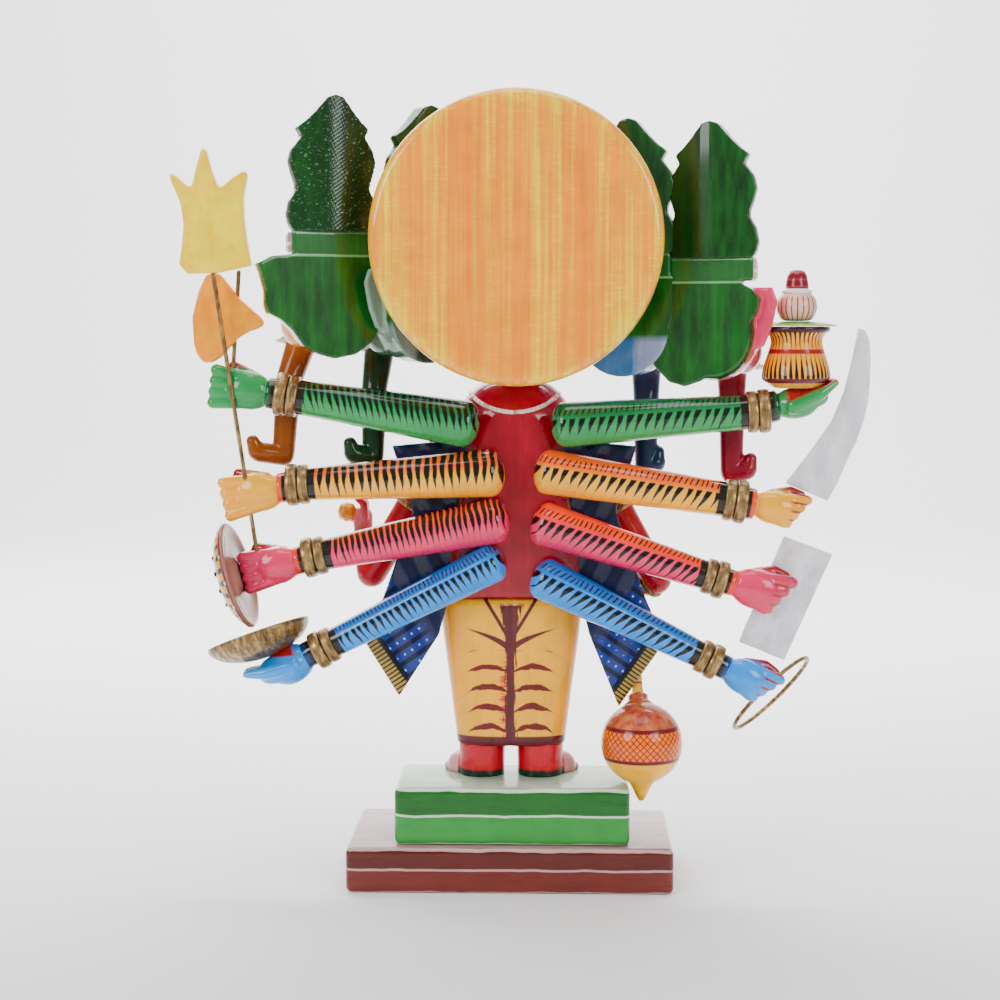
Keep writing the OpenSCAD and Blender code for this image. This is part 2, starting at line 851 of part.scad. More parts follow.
module mace_head() {
    color("#e07a2a") difference() {
        union() {
            translate(mace_at) sphere(mace_r, $fn = 64);
            translate(mace_at - [0, 0, mace_r + 7]) cylinder(h = mace_r, r1 = 1.2, r2 = 7.5);
            towards(mace_at, mace_at + mace_dir) cylinder(h = mace_r + 4, r = 4);
        }
        mace_rod(0);
        base_step();
    }
}

base_slab();
base_step();
foot_left();
foot_right();
legs();
torso();
garland();
head_centre();
head_inner_left();
head_inner_right();
head_outer_left();
head_outer_right();
trunk_centre();
trunk_inner_left();
trunk_inner_right();
trunk_outer_left();
trunk_outer_right();
crown_centre();
crown_inner_left();
crown_inner_right();
crown_outer_left();
crown_outer_right();
tusks();
head_rail();
halo_block();
halo_disc();
arm_green_left();
arm_yellow_left();
arm_pink_left();
arm_blue_left();
arm_green_right();
arm_yellow_right();
arm_pink_right();
arm_blue_right();
front_arm_left();
front_arm_right();
bangles();
arm_pegs();
body_dowels();
base_nails();
scarf_left();
scarf_right();
trident_head();
trident_shaft();
axe_head();
axe_shaft();
shield();
bowl();
pot();
pot_leaves();
coconut();
sword();
book();
noose();
mace_head();
mace_shaft();
sweet();
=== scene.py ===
import math

import bmesh
import bpy
from mathutils import Matrix, Vector, noise
from mathutils.bvhtree import BVHTree


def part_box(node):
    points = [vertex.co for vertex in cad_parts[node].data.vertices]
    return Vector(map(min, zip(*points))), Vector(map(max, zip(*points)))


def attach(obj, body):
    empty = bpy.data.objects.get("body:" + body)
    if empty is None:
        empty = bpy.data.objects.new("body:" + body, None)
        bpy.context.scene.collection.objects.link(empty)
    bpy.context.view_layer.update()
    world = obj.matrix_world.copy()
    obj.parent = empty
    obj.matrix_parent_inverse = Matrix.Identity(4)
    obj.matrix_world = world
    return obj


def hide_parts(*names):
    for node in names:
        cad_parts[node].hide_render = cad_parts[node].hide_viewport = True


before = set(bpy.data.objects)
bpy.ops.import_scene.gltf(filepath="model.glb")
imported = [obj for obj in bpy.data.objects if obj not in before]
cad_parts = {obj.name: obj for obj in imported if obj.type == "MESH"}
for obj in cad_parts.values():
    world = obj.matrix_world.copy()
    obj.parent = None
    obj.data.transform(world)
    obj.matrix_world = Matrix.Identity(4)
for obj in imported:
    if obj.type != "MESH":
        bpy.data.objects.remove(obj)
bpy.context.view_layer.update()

# Shapes are built in millimetres in the CAD's own frame, and turned to metres when a piece is finished.
MM = 0.001
BODY = "root"


def low(node):
    """The lowest corner of a CAD node, in millimetres."""
    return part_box(node)[0] / MM


def high(node):
    """The highest corner of a CAD node, in millimetres."""
    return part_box(node)[1] / MM


def middle(node):
    """The middle of a CAD node's box, in millimetres."""
    return (low(node) + high(node)) / 2


# Heights and centre lines of the figure, read from the frame
DECK_Z = high("base_step").z
HEM_Z = high("foot_left").z
WAIST_Z = high("legs").z
NECK_H = 16
NECK_Z = high("torso").z - NECK_H
FIG_X = middle("torso").x
LEG_X = middle("legs").x
SEAT_Y = high("torso").y
BODY_Y = SEAT_Y - 16
FOOT_Y = BODY_Y + 6
ARM_Y = BODY_Y + 23

# One row a back arm: paint, side, shoulder out and up, its radius, reach, rise, wrist radius,
# hand length, hand rise, half the hand's height, and the way the hand is carved
ARMS = {
    "arm_green_left": ("green", 1, (18.5, 67.8), 9.0, 63.2, 9.1, 6.6, 25, 7, 8.6, "fist"),
    "arm_yellow_left": ("yellow", 1, (9.0, 49.2), 9.2, 68.1, -3.5, 6.3, 25, -12, 8.8, "fist"),
    "arm_pink_left": ("pink", 1, (7.1, 31.0), 8.9, 65.1, -11.3, 6.0, 24, -14, 8.4, "fist"),
    "arm_blue_left": ("blue", 1, (8.3, 14.8), 7.6, 66.8, -26.9, 5.6, 26, -22, 7.6, "cup"),
    "arm_green_right": ("green", -1, (19.4, 67.5), 8.7, 67.9, 4.1, 6.6, 25, 18, 6.0, "cup"),
    "arm_yellow_right": ("yellow", -1, (13.0, 49.7), 8.6, 66.6, -8.7, 6.6, 22, -10, 7.0, "flat"),
    "arm_pink_right": ("pink", -1, (11.9, 29.8), 8.6, 62.6, -17.5, 5.6, 24, -15, 8.4, "flat"),
    "arm_blue_right": ("blue", -1, (11.9, 8.9), 8.2, 64.5, -26.0, 5.2, 23, -27, 7.4, "flat"),
}
CUFF = 11.5
BANGLE_W = 4.4

# One row a head: place of its back from the centre line, the torso's middle and the neck's foot,
# turn outwards, side of the big ear, the trunk's drop, lean and hook, and how far the chin sits off centre
HEAD_W = 34
HEAD_H = 38
HEAD_D = 28
BOARD_T = 8
BAND_H = 8.5
CROWN_H = 50
CROWN_HALF = 18
HEADS = {
    "centre": ((-5.4, 14, 54), 4, 0, 52, 5.0, 8.5, 0.0),
    "inner_left": ((33.1, 20, 53), 38, 1, 48, 7.5, 9.5, -1.5),
    "inner_right": ((-43.4, 20, 48), -15, -1, 47, -1.0, -4.5, 3.0),
    "outer_left": ((67.1, 29, 56), 25, 1, 50, 12.0, 11.5, -2.5),
    "outer_right": ((-73.4, 29, 46), -20, -1, 47, -1.5, -7.0, 9.0),
}


# ---- shaping ----

def ball(bm, at, radii, turn=None, around=20):
    """Adds an egg-shaped lump."""
    place = Matrix.Translation(at) @ (turn or Matrix.Identity(4)) @ Matrix.Diagonal((*radii, 1))
    bmesh.ops.create_uvsphere(bm, u_segments=around, v_segments=around // 2, radius=1, matrix=place)


def rod(bm, start, end, start_r, end_r=None, around=20):
    """Adds a straight round bar, tapered if it has a second radius."""
    start, end = Vector(start), Vector(end)
    along = end - start
    place = Matrix.Translation((start + end) / 2) @ along.to_track_quat("Z", "Y").to_matrix().to_4x4()
    bmesh.ops.create_cone(
        bm, cap_ends=True, segments=around, radius1=start_r,
        radius2=start_r if end_r is None else end_r, depth=along.length, matrix=place)


def limb(bm, stations):
    """Adds a chain of tapered bars with round joints, through (point, radius) stations."""
    for (start, start_r), (end, end_r) in zip(stations, stations[1:]):
        rod(bm, start, end, start_r, end_r)
    for at, radius in stations:
        ball(bm, at, (radius, radius, radius))


def curve_through(points, steps=6, closed=False):
    """Points along a smooth curve through the given ones."""
    count = len(points)
    made = []
    for i in range(count if closed else count - 1):
        near = [
            Vector(points[k % count] if closed else points[min(max(k, 0), count - 1)])
            for k in range(i - 1, i + 3)
        ]
        for j in range(steps):
            t = j / steps
            made.append(0.5 * (
                2 * near[1] + (near[2] - near[0]) * t
                + (2 * near[0] - 5 * near[1] + 4 * near[2] - near[3]) * t ** 2
                + (3 * near[1] - near[0] - 3 * near[2] + near[3]) * t ** 3))
    if not closed:
        made.append(Vector(points[-1]))
    return made


def board(bm, outline, front, back):
    """Adds a flat board cut to an outline in the XZ plane."""
    face = bm.faces.new([bm.verts.new((x, back, z)) for x, z in outline])
    made = bmesh.ops.extrude_face_region(bm, geom=[face])
    moved = [v for v in made["geom"] if isinstance(v, bmesh.types.BMVert)]
    bmesh.ops.translate(bm, vec=(0, front - back, 0), verts=moved)


def turned(profile, around=72):
    """A lathe-turned shape from (radius, height) points, about the Z axis."""
    bm = bmesh.new()
    verts = [bm.verts.new((r, 0, z)) for r, z in profile]
    edges = [bm.edges.new(pair) for pair in zip(verts, verts[1:])]
    bmesh.ops.spin(bm, geom=verts + edges, cent=(0, 0, 0), axis=(0, 0, 1),
                   angle=2 * math.pi, steps=around, use_merge=True)
    bmesh.ops.remove_doubles(bm, verts=bm.verts, dist=0.001)
    bmesh.ops.recalc_face_normals(bm, faces=bm.faces)
    return bm


def arc(across, up, start, stop, step):
    """Points of part of an ellipse, by their angles in degrees from its top."""
    return [(across * math.sin(math.radians(t)), up * math.cos(math.radians(t)))
            for t in range(start, stop, step)]


def saw_off(bm, at, away):
    """Cuts away what lies past a plane and closes the cut."""
    bmesh.ops.bisect_plane(bm, geom=bm.verts[:] + bm.edges[:] + bm.faces[:],
                           plane_co=at, plane_no=away, clear_outer=True)
    bmesh.ops.holes_fill(bm, edges=bm.edges)


def join(bm, other):
    """Adds another shape to this one and frees it."""
    mesh = bpy.data.meshes.new("part")
    other.to_mesh(mesh)
    other.free()
    bm.from_mesh(mesh)
    bpy.data.meshes.remove(mesh)


def melt(bm, voxel, rounds=3):
    """Blends overlapping lumps into one carved skin."""
    bmesh.ops.recalc_face_normals(bm, faces=bm.faces)
    mesh = bpy.data.meshes.new("lumps")
    bm.to_mesh(mesh)
    lumps = bpy.data.objects.new("lumps", mesh)
    bpy.context.scene.collection.objects.link(lumps)
    skin = lumps.modifiers.new("skin", "REMESH")
    skin.mode = "VOXEL"
    skin.voxel_size = voxel
    graph = bpy.context.evaluated_depsgraph_get()
    smooth = bpy.data.meshes.new_from_object(lumps.evaluated_get(graph))
    bm.clear()
    bm.from_mesh(smooth)
    bpy.data.objects.remove(lumps)
    bpy.data.meshes.remove(mesh)
    bpy.data.meshes.remove(smooth)
    for _ in range(rounds):
        bmesh.ops.smooth_vert(bm, verts=bm.verts, factor=0.5,
                              use_axis_x=True, use_axis_y=True, use_axis_z=True)
    return bm


def soft_box(bm, size, centre, bevel, segments=5):
    """Adds a box with rounded edges."""
    place = Matrix.Translation(centre) @ Matrix.Diagonal((*size, 1))
    made = bmesh.ops.create_cube(bm, size=1, matrix=place)
    edges = list({e for v in made["verts"] for e in v.link_edges})
    bmesh.ops.bevel(bm, geom=edges, offset=bevel, offset_type="OFFSET", affect="EDGES",
                    segments=segments, profile=0.5, material=-1)


def piece(name, bm, finish, nodes=(), place=None):
    """Finishes a shape as a piece: keeps its own millimetre coordinates in the attribute spot,
    puts it in its place, gives it its finish, and hides the CAD nodes it stands for."""
    mesh = bpy.data.meshes.new(name)
    bmesh.ops.triangulate(bm, faces=[f for f in bm.faces if len(f.verts) > 4])
    bm.to_mesh(mesh)
    bm.free()
    spot = mesh.attributes.new("spot", "FLOAT_VECTOR", "POINT")
    flat = [c for v in mesh.vertices for c in v.co]
    spot.data.foreach_set("vector", flat)
    place = place or Matrix.Identity(4)
    mesh.transform(place)
    if place.to_3x3().determinant() < 0:
        mesh.flip_normals()
    mesh.transform(Matrix.Scale(MM, 4))
    mesh.shade_smooth()
    mesh.materials.append(finish)
    made = bpy.data.objects.new(name, mesh)
    bpy.context.scene.collection.objects.link(made)
    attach(made, BODY)
    if nodes:
        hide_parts(*nodes)
    return made


# ---- paints ----

def pigment(code):
    """A linear colour from an sRGB hex value."""
    channels = [int(code[i:i + 2], 16) / 255 for i in (1, 3, 5)]
    return [*(c / 12.92 if c <= 0.04045 else ((c + 0.055) / 1.055) ** 2.4 for c in channels), 1]


def add(tree, kind, inputs=(), out=0, stops=(), **settings):
    """Adds a node with its settings, its inputs in socket order or by name, and a ramp's stops.
    An input is a link, a number or a hex colour. Gives one output, or all of them."""
    node = tree.nodes.new("ShaderNode" + kind)
    for name, value in settings.items():
        setattr(node, name, value)
    for socket, value in inputs.items() if isinstance(inputs, dict) else enumerate(inputs):
        if isinstance(value, bpy.types.NodeSocket):
            tree.links.new(value, node.inputs[socket])
        else:
            node.inputs[socket].default_value = pigment(value) if isinstance(value, str) else value
    if stops:
        ramp = node.color_ramp.elements
        while len(ramp) < len(stops):
            ramp.new(0.5)
        for element, (position, code) in zip(ramp, stops):
            element.position = position
            element.color = pigment(code)
    return node.outputs if out is None else node.outputs[out]


def where(tree, shared=False):
    """Millimetre coordinates, a piece's own or the whole figure's: the vector and its three parts."""
    vector = add(tree, "Attribute", attribute_name="spot", out="Vector")
    if shared:
        metres = add(tree, "TexCoord", out="Object")
        vector = add(tree, "VectorMath", {0: metres, "Scale": 1 / MM}, operation="SCALE")
    parts = add(tree, "SeparateXYZ", [vector], out=None)
    return vector, parts[0], parts[1], parts[2]


def grain(tree, vector, pitch, detail=3.0, rough=0.55):
    """Noise whose features measure pitch = (x, y, z) millimetres."""
    scaled = add(tree, "Mapping", {"Vector": vector, "Scale": [1 / p for p in pitch]})
    return add(tree, "TexNoise", {"Vector": scaled, "Scale": 1.0, "Detail": detail, "Roughness": rough})


def lacquer(name, paint, stroke=(3, 3, 22), depth=0.12, rough=0.3, coat=0.5, shared=False):
    """Enamel brushed on wood under clear lacquer: brush marks stand in it, and it shines through them."""
    material = bpy.data.materials.new(name)
    material.use_nodes = True
    tree = material.node_tree
    shader = tree.nodes["Principled BSDF"]
    vector = where(tree, shared)[0]
    colour = paint(tree) if callable(paint) else pigment(paint)
    marks = grain(tree, vector, stroke, detail=4.0)
    wear = grain(tree, vector, (9, 9, 9), detail=2.0)
    shade = add(tree, "Math", [marks, wear], operation="ADD")
    value = add(tree, "MapRange", [shade, 0.7, 1.3, 0.86, 1.12])
    toned = add(tree, "HueSaturation", {"Value": value, "Color": colour})
    tree.links.new(toned, shader.inputs["Base Color"])
    sheen = add(tree, "MapRange", [marks, 0.3, 0.7, rough - 0.06, rough + 0.1])
    tree.links.new(sheen, shader.inputs["Roughness"])
    bump = add(tree, "Bump", {"Strength": 0.5, "Distance": depth * MM, "Height": marks})
    tree.links.new(bump, shader.inputs["Normal"])
    shader.inputs["Specular IOR Level"].default_value = 0.12
    shader.inputs["Coat Weight"].default_value = coat
    shader.inputs["Coat Roughness"].default_value = 0.06
    shader.inputs["IOR"].default_value = 1.5
    return material


def bands(tree, value, pitch, share):
    """1 inside stripes that repeat every pitch and fill a share of it, which may be a link."""
    wave = add(tree, "Math", [value, pitch], operation="PINGPONG")
    half = add(tree, "Math", [share, pitch], operation="MULTIPLY")
    edge = add(tree, "Math", [half, wave], operation="SUBTRACT")
    return add(tree, "MapRange", [edge, -0.12, 0.12])


def stripe(tree, value, level, outer, inner):
    """1 inside a painted line where value meets level, fading from inner to outer on both sides."""
    gap = add(tree, "Math", [add(tree, "Math", [value, level], operation="SUBTRACT")], operation="ABSOLUTE")
    return add(tree, "MapRange", [gap, outer, inner])


def blotched(tree, vector, pitch, edges, one, two, detail=3.0):
    """Two tones of one paint, in blotches or streaks that measure pitch."""
    share = add(tree, "MapRange", [grain(tree, vector, pitch, detail), *edges])
    return add(tree, "MixRGB", [share, one, two])


def waver(tree, vector, pitch, reach, detail=3.0):
    """A slow wandering by up to reach, which keeps a painted edge from running true."""
    return add(tree, "MapRange", [grain(tree, vector, [pitch] * 3, detail), 0.2, 0.8, -reach, reach])


def girth(tree, x, y, radius):
    """The way run round the Z axis at a radius."""
    return add(tree, "Math", [add(tree, "Math", [y, x], operation="ARCTAN2"), radius], operation="MULTIPLY")


# One row an arm: how far apart its black marks stand, how they lean, how far down they reach,
# and whether a row of short dashes runs above them
MARKS = {
    "arm_green_left": (2.6, 0.35, -2.5, False),
    "arm_yellow_left": (3.1, 0.0, -3.5, False),
    "arm_pink_left": (2.3, 0.0, -2.5, False),
    "arm_blue_left": (2.7, 0.1, -3.5, True),
    "arm_green_right": (3.6, 0.4, -3.5, True),
    "arm_yellow_right": (3.6, 0.4, -3.5, True),
    "arm_pink_right": (3.3, 0.5, -4.0, True),
    "arm_blue_right": (3.4, 0.5, -4.0, True),
}


def sleeve_paint(tree, node, base, warm, under):
    """Sleeve enamel: black wedges, broad above and pointed below, on a ground that warms towards the top."""
    pitch, lean, foot, dashes = MARKS[node]
    vector, along, _, up = where(tree)
    wobble = grain(tree, vector, (7, 9, 9), detail=1.0)
    drift = add(tree, "Math", [wobble, 2.4, along], operation="MULTIPLY_ADD")
    walk = add(tree, "Math", [up, -lean, drift], operation="MULTIPLY_ADD")
    reach = add(tree, "Math", [wobble, 5.0, up], operation="MULTIPLY_ADD")
    width = add(tree, "MapRange", [reach, foot + 1.5, foot + 7.5, 0.0, 0.62])
    marks = bands(tree, walk, pitch / 2, width)
    if dashes:
        marks = add(tree, "Math", [marks, add(tree, "MapRange", [up, 2.7, 2.2])], operation="MULTIPLY")
        row = add(tree, "Math", [add(tree, "MapRange", [up, 3.6, 4.0]), add(tree, "MapRange", [up, 6.4, 6.0])],
                  operation="MULTIPLY")
        row = add(tree, "Math", [row, bands(tree, walk, pitch / 3.4, 0.3)], operation="MULTIPLY")
        marks = add(tree, "Math", [marks, row], operation="MAXIMUM")
    rise = add(tree, "MapRange", [up, 0.8, 4.2], interpolation_type="SMOOTHSTEP")
    ground = add(tree, "MixRGB", [rise, base, warm])
    shade = add(tree, "MapRange", [up, -3.0, -8.0], interpolation_type="SMOOTHSTEP")
    ground = add(tree, "MixRGB", [shade, ground, under])
    return add(tree, "MixRGB", [marks, ground, "#0c100c"])


def arm_paint(node):
    """The whole arm: patterned sleeve, black wrist bands, a ring, the plain hand and its red palm."""
    tone, _, _, _, reach, _, _, length, _, half, way = ARMS[node]
    base, warm, under, cuff_tone = ARM_TONES[tone]
    hand_at = reach + CUFF

    def paint(tree):
        vector, along, back, up = where(tree)
        sleeve = sleeve_paint(tree, node, base, warm, under)
        tip = add(tree, "MapRange", [along, hand_at + length * 0.3, hand_at + length],
                  interpolation_type="SMOOTHSTEP")
        hand = add(tree, "MixRGB", [tip, base, under])
        ring = add(tree, "MapRange", [along, hand_at + 1.6, hand_at + 1.0])
        hand = add(tree, "MixRGB", [ring, hand, cuff_tone])
        if way == "cup":
            slope = -0.35
            tilted = add(tree, "Math", [along, slope, up], operation="MULTIPLY_ADD")
            palm = add(tree, "MapRange", [tilted, 1.0 + slope * hand_at, 1.8 + slope * hand_at])
        else:
            palm = add(tree, "MapRange", [back, -1.6, -2.6])
        inner = add(tree, "MapRange", [along, hand_at + 3, hand_at + 5])
        if way == "flat":
            # Slits painted between the fingers
            knuckles = hand_frame(ARMS[node])
            forward, _, upward = knuckles.to_3x3().col
            local = add(tree, "VectorMath", [vector, list(knuckles.translation)], operation="SUBTRACT")
            across = add(tree, "VectorMath", [local, list(upward)], operation="DOT_PRODUCT", out=1)
            out = add(tree, "VectorMath", [local, list(forward)], operation="DOT_PRODUCT", out=1)
            fingers = add(tree, "MapRange", [out, length * 0.62, length * 0.7])
            slit = add(tree, "Math", [bands(tree, across, half * 0.24, 0.26), fingers], operation="MULTIPLY")
            hand = add(tree, "MixRGB", [slit, hand, "#a02818"])
        palm = add(tree, "Math", [palm, inner], operation="MULTIPLY")
        hand = add(tree, "MixRGB", [palm, hand, "#a01020"])
        cuff = add(tree, "MapRange", [along, hand_at - 2.0, hand_at - 1.8])
        whole = add(tree, "MixRGB", [cuff, sleeve, hand])
        dark = add(tree, "Math", [add(tree, "MapRange", [along, reach - 2.2, reach - 1.8]),
                                  add(tree, "MapRange", [along, hand_at - 0.6, hand_at - 1.0])],
                   operation="MULTIPLY")
        return add(tree, "MixRGB", [dark, whole, "#1c1610"])
    return paint


# ---- base ----

def base_paint(node, face, face_low, top, line):
    """Slab enamel: brushed faces, a top painted in paler tones as a painted reflection, and a wavering white line
    along the edges.
    """
    half = (high(node) - low(node)) / 2

    def paint(tree):
        vector, _, _, z = where(tree)
        height = add(tree, "Math", [z, waver(tree, vector, 16, 0.5, detail=2.0)], operation="ADD")
        side = add(tree, "MixRGB", [add(tree, "MapRange", [height, 0.6, -0.6]), face, face_low])
        for level, line_half in ((half.z - 0.9, 0.6), (0.3, 0.4), (-half.z + 0.5, 0.25)):
            near = stripe(tree, height, level, line_half + 0.15, line_half - 0.1)
            side = add(tree, "MixRGB", [near, side, line])
        # Painted reflection: the top face takes paler tones than the sides
        reflecting_top = blotched(tree, vector, (30, 7, 7), (0.35, 0.75), top, line)
        return add(tree, "MixRGB", [add(tree, "MapRange", [z, half.z - 0.5, half.z - 0.2]), side, reflecting_top])
    return paint


def build_base():
    # The third tone of each slab is its top's painted reflection, blotched with the line's tone
    for node, name, tones in (
            ("base_slab", "maroon brown enamel", ("#5a1a14", "#6e241c", "#8f6863", "#bd9a94")),
            ("base_step", "green enamel", ("#14621c", "#2a9038", "#94ba94", "#cfe2ca"))):
        bm = bmesh.new()
        soft_box(bm, high(node) - low(node), (0, 0, 0), 2.4)
        piece(node + "_board", bm, lacquer(name, base_paint(node, *tones), stroke=(26, 26, 2.5)), [node],
              Matrix.Translation(middle(node)))


# ---- legs and torso ----

def foot_paint(tree):
    """Red ankle with a dark painted ring at its foot, and a pink shoe."""
    vector, x, y, z = where(tree)
    height = add(tree, "Math", [z, waver(tree, vector, 3, 0.6)], operation="ADD")
    radius = add(tree, "VectorMath", [add(tree, "CombineXYZ", [x, y])], operation="LENGTH", out=1)
    ankle = add(tree, "MixRGB", [add(tree, "MapRange", [height, 3.2, 2.2]), "#c40020", "#10241a"])
    return add(tree, "MixRGB", [add(tree, "MapRange", [radius, 9.2, 9.8]), ankle, "#e79aa0"])


def build_feet():
    finish = lacquer("ankle enamel", foot_paint)
    for side, node in ((1, "foot_left"), (-1, "foot_right")):
        centre = Vector((LEG_X + side * 11.3, FOOT_Y, DECK_Z))
        bm = bmesh.new()
        rod(bm, (0, 0, 0), (0, 0, HEM_Z - DECK_Z + 0.5), 8.7, 9.0, around=48)
        limb(bm, [((side * 1.5, -3, 2.0), 8.4), ((side * 8, -7, 1.6), 6.2)])
        for i in range(5):
            toe = Vector((side * (13.2 - 3.0 * i), -9.6 - 0.5 * i * (2 - i * 0.3), 0.9))
            limb(bm, [((side * 6, -6, 2.2), 4.0), (toe, 2.9 - 0.2 * (4 - i))])
        saw_off(bm, (0, 0, 0), (0, 0, -1))
        melt(bm, 0.45, 2)
        piece(node.replace("foot", "shoe"), bm, finish, [node], Matrix.Translation(centre))


def dhoti_paint(tree):
    """Yellow cloth with maroon brush strokes: a fan at the waist, a centre line and arched folds."""
    vector, x, _, z = where(tree)
    side = add(tree, "Math", [x], operation="ABSOLUTE")
    drift = waver(tree, vector, 5, 0.7, detail=2.0)
    top = WAIST_Z - HEM_Z
    maroon = "#5a1820"
    # Painted shade: the yellow turns a darker orange towards the outer sides, where the legs round away
    side_shade = add(tree, "MapRange", [side, 15, 26], interpolation_type="SMOOTHSTEP")
    cloth = add(tree, "MixRGB", [side_shade, "#ffb200", "#f09600"])
    # A reddish smear dragged sideways beside the centre line of one leg
    drag = grain(tree, vector, (5, 5, 0.7), detail=4.0)
    smear = add(tree, "Math", [drag, add(tree, "MapRange", [x, 10, 2.5, -0.35, 0.06])], operation="ADD")
    smear = add(tree, "MapRange", [smear, 0.5, 0.58])
    smear = add(tree, "Math", [smear, add(tree, "MapRange", [x, 0.5, 1.2])], operation="MULTIPLY")
    smear = add(tree, "Math", [smear, add(tree, "MapRange", [z, top - 20, top - 26])], operation="MULTIPLY")
    cloth = add(tree, "MixRGB", [smear, cloth, "#d8452a"])
    # Arched folds, thick in the middle and fine at both ends
    away = add(tree, "Math", [side, 8.5], operation="SUBTRACT")
    square = add(tree, "Math", [away, away], operation="MULTIPLY")
    walk = add(tree, "Math", [add(tree, "Math", [square, 0.04], operation="MULTIPLY"), z], operation="ADD")
    walk = add(tree, "Math", [walk, drift], operation="ADD")
    folds = bands(tree, walk, 3.9, add(tree, "MapRange", [square, 66, 0, 0.0, 0.3]))
    folds = add(tree, "Math", [folds, add(tree, "MapRange", [z, top - 19, top - 20.5])], operation="MULTIPLY")
    cloth = add(tree, "MixRGB", [folds, cloth, "#6a0f12"])
    # Two long folds that sweep up and out below the waist
    sweep = add(tree, "Math", [add(tree, "MapRange", [side, 0, 20]), 0.5], operation="POWER")
    sweep = add(tree, "MapRange", [sweep, 0, 1, top - 21, top - 10.5])
    off = add(tree, "Math", [add(tree, "Math", [z, sweep], operation="SUBTRACT")], operation="ABSOLUTE")
    off = add(tree, "Math", [add(tree, "MapRange", [side, 1, 19, 1.5, -0.1]), off], operation="SUBTRACT")
    cloth = add(tree, "MixRGB", [add(tree, "MapRange", [off, -0.15, 0.15]), cloth, maroon])
    # The waist's V with its brushed fan, and the line down the middle
    slope = add(tree, "MapRange", [z, top - 15, top, 0.6, 9.6])
    cloth = add(tree, "MixRGB", [stripe(tree, side, slope, 0.95, 0.65), cloth, maroon])
    bristle = add(tree, "MapRange", [grain(tree, vector, (0.8, 0.8, 9), detail=2.0), 0.3, 0.7, -1.4, 1.4])
    fan = add(tree, "Math", [add(tree, "MapRange", [z, top - 15, top - 1, 1.6, 4.8]), bristle], operation="ADD")
    fan = add(tree, "MapRange", [add(tree, "Math", [fan, side], operation="SUBTRACT"), -0.3, 0.3])
    fan = add(tree, "Math", [fan, add(tree, "MapRange", [z, top - 1, top - 2.5])], operation="MULTIPLY")
    cloth = add(tree, "MixRGB", [fan, cloth, maroon])
    seam = add(tree, "MapRange", [add(tree, "Math", [side, drift], operation="ADD"), 1.5, 1.1])
    seam = add(tree, "Math", [seam, add(tree, "MapRange", [z, top - 12, top - 14])], operation="MULTIPLY")
    cloth = add(tree, "MixRGB", [seam, cloth, maroon])
    return add(tree, "MixRGB", [add(tree, "MapRange", [z, 4.0, 3.6]), cloth, "#5c1a22"])


LEG_FLARE = 4.5


def build_legs():
    top = WAIST_Z - HEM_Z
    stations = [(0.0, 20.2, 9.6), (0.8, 21.0, 10.4), (3.0, 21.2, 10.6), (top * 0.35, 23.4, 12.0),
                (top * 0.7, 26.2, 13.8), (top - 3.0, 27.8, 15.0), (top - 0.5, 28.0, 15.1), (top, 27.0, 14.2)]
    bm = turned([(0, 0)] + [(1, z) for z, _, _ in stations] + [(0, top)], around=160)
    squareness = 2.7
    for v in bm.verts:
        for (z0, w0, d0), (z1, w1, d1) in zip(stations, stations[1:]):
            if z0 <= v.co.z <= z1 + 1e-6:
                t = (v.co.z - z0) / (z1 - z0)
                half_w, half_d = w0 + (w1 - w0) * t, d0 + (d1 - d0) * t
        spread = (abs(v.co.x) ** squareness + abs(v.co.y) ** squareness) ** (1 / squareness)
        if spread > 1e-6:
            v.co.x *= half_w / spread
            v.co.y *= half_d / spread
        groove = math.exp(-(v.co.x / 1.6) ** 2) * 1.1
        v.co.y -= math.copysign(min(groove, abs(v.co.y)), v.co.y)
        v.co.y -= LEG_FLARE * v.co.z / top
    piece("dhoti", bm, lacquer("dhoti enamel", dhoti_paint, stroke=(3, 3, 20)), ["legs"],
          Matrix.Translation((LEG_X, FOOT_Y, HEM_Z)))


TORSO_FLAT = 0.74
TORSO_LINE = [(29.4, 0.0), (30.2, 0.12), (29.6, 0.28), (27.0, 0.52), (24.8, 0.74),
              (21.0, 0.88), (14.9, 0.97), (9.0, 1.0)]


def body_paint(tree):
    """Crimson in two close tones, brushed downwards."""
    return blotched(tree, where(tree)[0], (12, 12, 30), (0.35, 0.7), "#9c0020", "#b80028")


def build_torso():
    tall = NECK_Z - WAIST_Z
    line = curve_through([(r, h * tall) for r, h in TORSO_LINE], 8)
    bm = turned([(0, 0.3), *line, (9.0, tall + 6), (8.8, tall + 15.6), (0, tall + 15.6)], around=96)
    for v in bm.verts:
        v.co.y *= TORSO_FLAT
    ball(bm, (0, -9.5, tall * 0.30), (24, 15, 23), around=48)
    for side in (-1, 1):
        ball(bm, (side * 10, -9, tall * 0.72), (12, 9, 11), around=32)
        ball(bm, (side * 19, -1, tall * 0.77), (9.5, 9.5, 9.5), around=32)
    flat = SEAT_Y - BODY_Y
    saw_off(bm, (0, flat, 0), (0, 1, 0))
    melt(bm, 0.9, 4)
    ball(bm, (0, -24.6, tall * 0.27), (1.4, 0.8, 1.4))
    body = lacquer("crimson enamel", body_paint, coat=0.8, rough=0.22)
    return piece("torso_carving", bm, body, ["torso"], Matrix.Translation((FIG_X, BODY_Y, WAIST_Z)))


# ---- back arms ----

def arm_frame(row):
    """Where an arm's own axes lie: along the arm, towards the back, and up."""
    _, side, (out, up), _, _, rise, *_ = row
    tilt = math.radians(rise)
    along = Vector((side * math.cos(tilt), 0, math.sin(tilt)))
    upward = Vector((-side * math.sin(tilt), 0, math.cos(tilt)))
    at = Vector((FIG_X + side * out, ARM_Y, WAIST_Z + up))
    axes = Matrix((along, (0, 1, 0), upward)).transposed().to_4x4()
    return Matrix.Translation(at) @ axes


